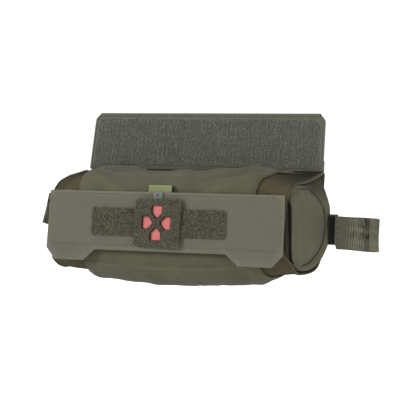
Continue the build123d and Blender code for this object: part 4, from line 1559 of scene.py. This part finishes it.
def grip(side, name, root, end):
    """Folded webbing: front layer, a sewn dip, a rolled end, and the rear layer."""
    length = end - root
    # (x, distance in front of the tab's middle) along the webbing
    plan = resample([
        (root, 2.35), (root + 0.08 * length, 2.3), (root + 0.35 * length, 2.45),
        (end - 12.5, 2.4), (end - 11.2, 1.4), (end - 5.6, 1.25), (end - 4.7, 2.5),
        (end - 2.6, 2.75), (end - 0.9, 2.2), (end, 0.9), (end, -0.9), (end - 0.9, -2.2),
        (end - 2.6, -2.7), (end - 4.7, -2.5), (end - 5.6, -1.3), (end - 11.2, -1.4),
        (end - 12.5, -2.35), (root + 0.35 * length, -2.4), (root, -2.35)], 0.28)
    along = arc_length(plan)[:, None]
    tangent = unit(np.gradient(plan, axis=0))
    normals = np.stack([-tangent[:, 1], tangent[:, 0]], 1)
    z = np.linspace(-18.0, 10.0, 57)
    edge = np.minimum(z + 18, 10 - z)
    selvedge = 0.25 * bell(edge, 1.2)               # woven edge, a little thicker
    run = along + 0.010 * (z + 4) ** 2 + 0.5 * np.sin(z / 3.1)
    rib = (0.26 * np.sin(run * (1.288 + 0.0333 * run))
           * np.clip((along - 8) / 10, 0.15, 1) * np.minimum(1, edge / 1.5))
    layer = plan[:, None] + normals[:, None] * (rib + selvedge)[..., None]
    x, front = layer[..., 0], layer[..., 1]
    trim = 1.4 * np.maximum(0.0, (-13.5 - z) / 4.5) * clamp((root + 2.0 - x) / 2.0)
    y = TAB_Y - front + 0.25 * np.sin((x - root) / 14.0) * np.sin(z / 9.0)
    loose = np.where((z > 5) | (z < -13), 1, 0.3)
    height = z + 0.25 * np.sin(along / 7.0) * loose - GRIP_SLOPE * (x - root)
    points = grid(x + 0.35 * np.sin(z / 6.0) + trim, y, height)
    return sheet(name, to_side(side, points), 1.25, grid(along, height), flip=side > 0)


def tab_row(side, x, y, z, rise):
    """Short row that climbs by rise for each mm along x."""
    run = np.linspace(0, 2.2, 8)
    return to_side(side, grid(x + run, y, z + rise * run)), TAB_NORMAL


# the x of each grip's root and end
for (side, side_name), (root, end) in zip(SIDES, ((143.6, 183.6), (140.2, 169.2))):
    body = f"tab_{side_name}"
    cad_nodes = ["tab_strap_right", "carry_strap"] if side > 0 else ["tab_strap_left"]
    strap = put(strap_root(side, f"tab_root_{side_name}", root + 0.7),
                "webbing", None, "webbing", *cad_nodes)
    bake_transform(strap)
    put(grip(side, f"pull_tab_webbing_{side_name}", root, end),
        f"webbing_grip_{side_name}", body, "webbing", f"pull_tab_{side_name}")
    # dark bar tacks at the root of the grip, and dense dark rows in the sewn dip; their dark thread
    # there also paints the dip's shadow
    rows = [tab_row(side, root + 1.4, TAB_Y - 2.95, z, rise=0.5)
            for z in (-15.0, -10.2, -5.0, -0.4, 4.6)]
    put(stitches(f"pull_tab_tacks_{side_name}", rows, pitch=2.2, length=2.0, radius=0.62,
                 lift=0.05), "thread_dark", body, "webbing")
    rows = [tab_row(side, x, TAB_Y - 1.75, z - GRIP_SLOPE * (x - root), rise=0.85)
            for z in np.arange(-16.8, 8.4, 1.75) for x in (end - 10.9, end - 8.3)]
    put(stitches(f"pull_tab_rows_{side_name}", rows, pitch=2.2, length=2.3, radius=0.36,
                 lift=0.02), "thread_dark", body, "webbing")


# black patch of hook on the root of the right tab
def on_root(x, z, out):
    return grid(x, TAB_Y - 1.3 - out, z)


root_patch = rounded(rect(136.1, 145.2, -14.2, 10.4), 0.8, arc=3)
put(plate("tab_root_hook_base", root_patch, 0.7, on_root, step=1.5, bevel=0.15),
    "black_tape", "tab_right", "black_tape", "tab_hook_patch_right")
put(hooks("tab_root_hooks", root_patch, on_root, base=0.55, pitch_x=1.5, pitch_y=1.3,
          height=0.55, radius=0.12, seed=8), "black_tape", "tab_right", "black_tape")


# ---------------------------------------------------------------- stage, light and camera, m
def glow(tree, dim, strength):
    """Feed a strength socket: 1.05 where the camera looks, dim for every other ray."""
    path = tree.nodes.new("ShaderNodeLightPath")
    switch = tree.nodes.new("ShaderNodeMapRange")
    switch.inputs["To Min"].default_value = dim
    switch.inputs["To Max"].default_value = 1.05
    tree.links.new(path.outputs["Is Camera Ray"], switch.inputs["Value"])
    tree.links.new(switch.outputs[0], strength)


def floor(half=6, z=-0.20):
    mesh = bpy.data.meshes.new("floor")
    mesh.from_pydata([(-half, -half, z), (half, -half, z), (half, half, z), (-half, half, z)],
                     [], [(0, 1, 2, 3)])
    obj = bpy.data.objects.new("floor", mesh)
    bpy.context.scene.collection.objects.link(obj)
    material = bpy.data.materials.new("floor_mat")
    material.use_nodes = True
    inputs = material.node_tree.nodes["Principled BSDF"].inputs
    inputs["Base Color"].default_value = (0.9, 0.9, 0.9, 1)
    inputs["Roughness"].default_value = 0.9
    inputs["Specular IOR Level"].default_value = 0.1
    inputs["Emission Color"].default_value = (1, 1, 1, 1)
    glow(material.node_tree, 0.0, inputs["Emission Strength"])
    mesh.materials.append(material)


def studio_world():
    world = bpy.data.worlds.new("studio")
    bpy.context.scene.world = world
    world.use_nodes = True
    background = world.node_tree.nodes["Background"]
    background.inputs["Color"].default_value = (1, 1, 1, 1)
    glow(world.node_tree, 0.36, background.inputs["Strength"])


def area_light(name, location, target, size, power, color=(1, 1, 1)):
    light = bpy.data.lights.new(name, "AREA")
    light.size = size
    light.energy = power
    light.color = color
    obj = bpy.data.objects.new(name, light)
    obj.location = location
    aim = Vector(target) - Vector(location)
    obj.rotation_euler = aim.to_track_quat("-Z", "Y").to_euler()
    bpy.context.scene.collection.objects.link(obj)


def camera(target, azimuth, elevation, distance, lens):
    """Azimuth turns from the front towards the right."""
    data = bpy.data.cameras.new("camera")
    data.sensor_width = 36.0
    data.lens = lens
    data.clip_start, data.clip_end = 0.1, 50
    obj = bpy.data.objects.new("camera", data)
    toward = Vector((math.sin(azimuth) * math.cos(elevation),
                     -math.cos(azimuth) * math.cos(elevation), math.sin(elevation)))
    obj.location = Vector(target) + toward * distance
    obj.rotation_euler = (-toward).to_track_quat("-Z", "Y").to_euler()
    bpy.context.scene.collection.objects.link(obj)
    bpy.context.scene.camera = obj


floor()
studio_world()
area_light("key", location=(-1.15, -1.6, 0.85), target=(0, -0.03, 0.01), size=0.5, power=13.2,
           color=(1.0, 0.985, 0.96))
area_light("fill", location=(1.6, -0.9, 0.3), target=(0.05, 0, 0), size=1.0, power=6.6,
           color=(1.0, 0.99, 0.97))
area_light("top", location=(0.2, 0.3, 1.5), target=(0, 0, 0), size=1.0, power=0.8)
camera(target=(0.0441, -0.076, 0.0249), azimuth=math.radians(32.14),
       elevation=math.radians(2.42), distance=2.2244, lens=228.447)
bpy.context.scene.view_settings.view_transform = "Standard"
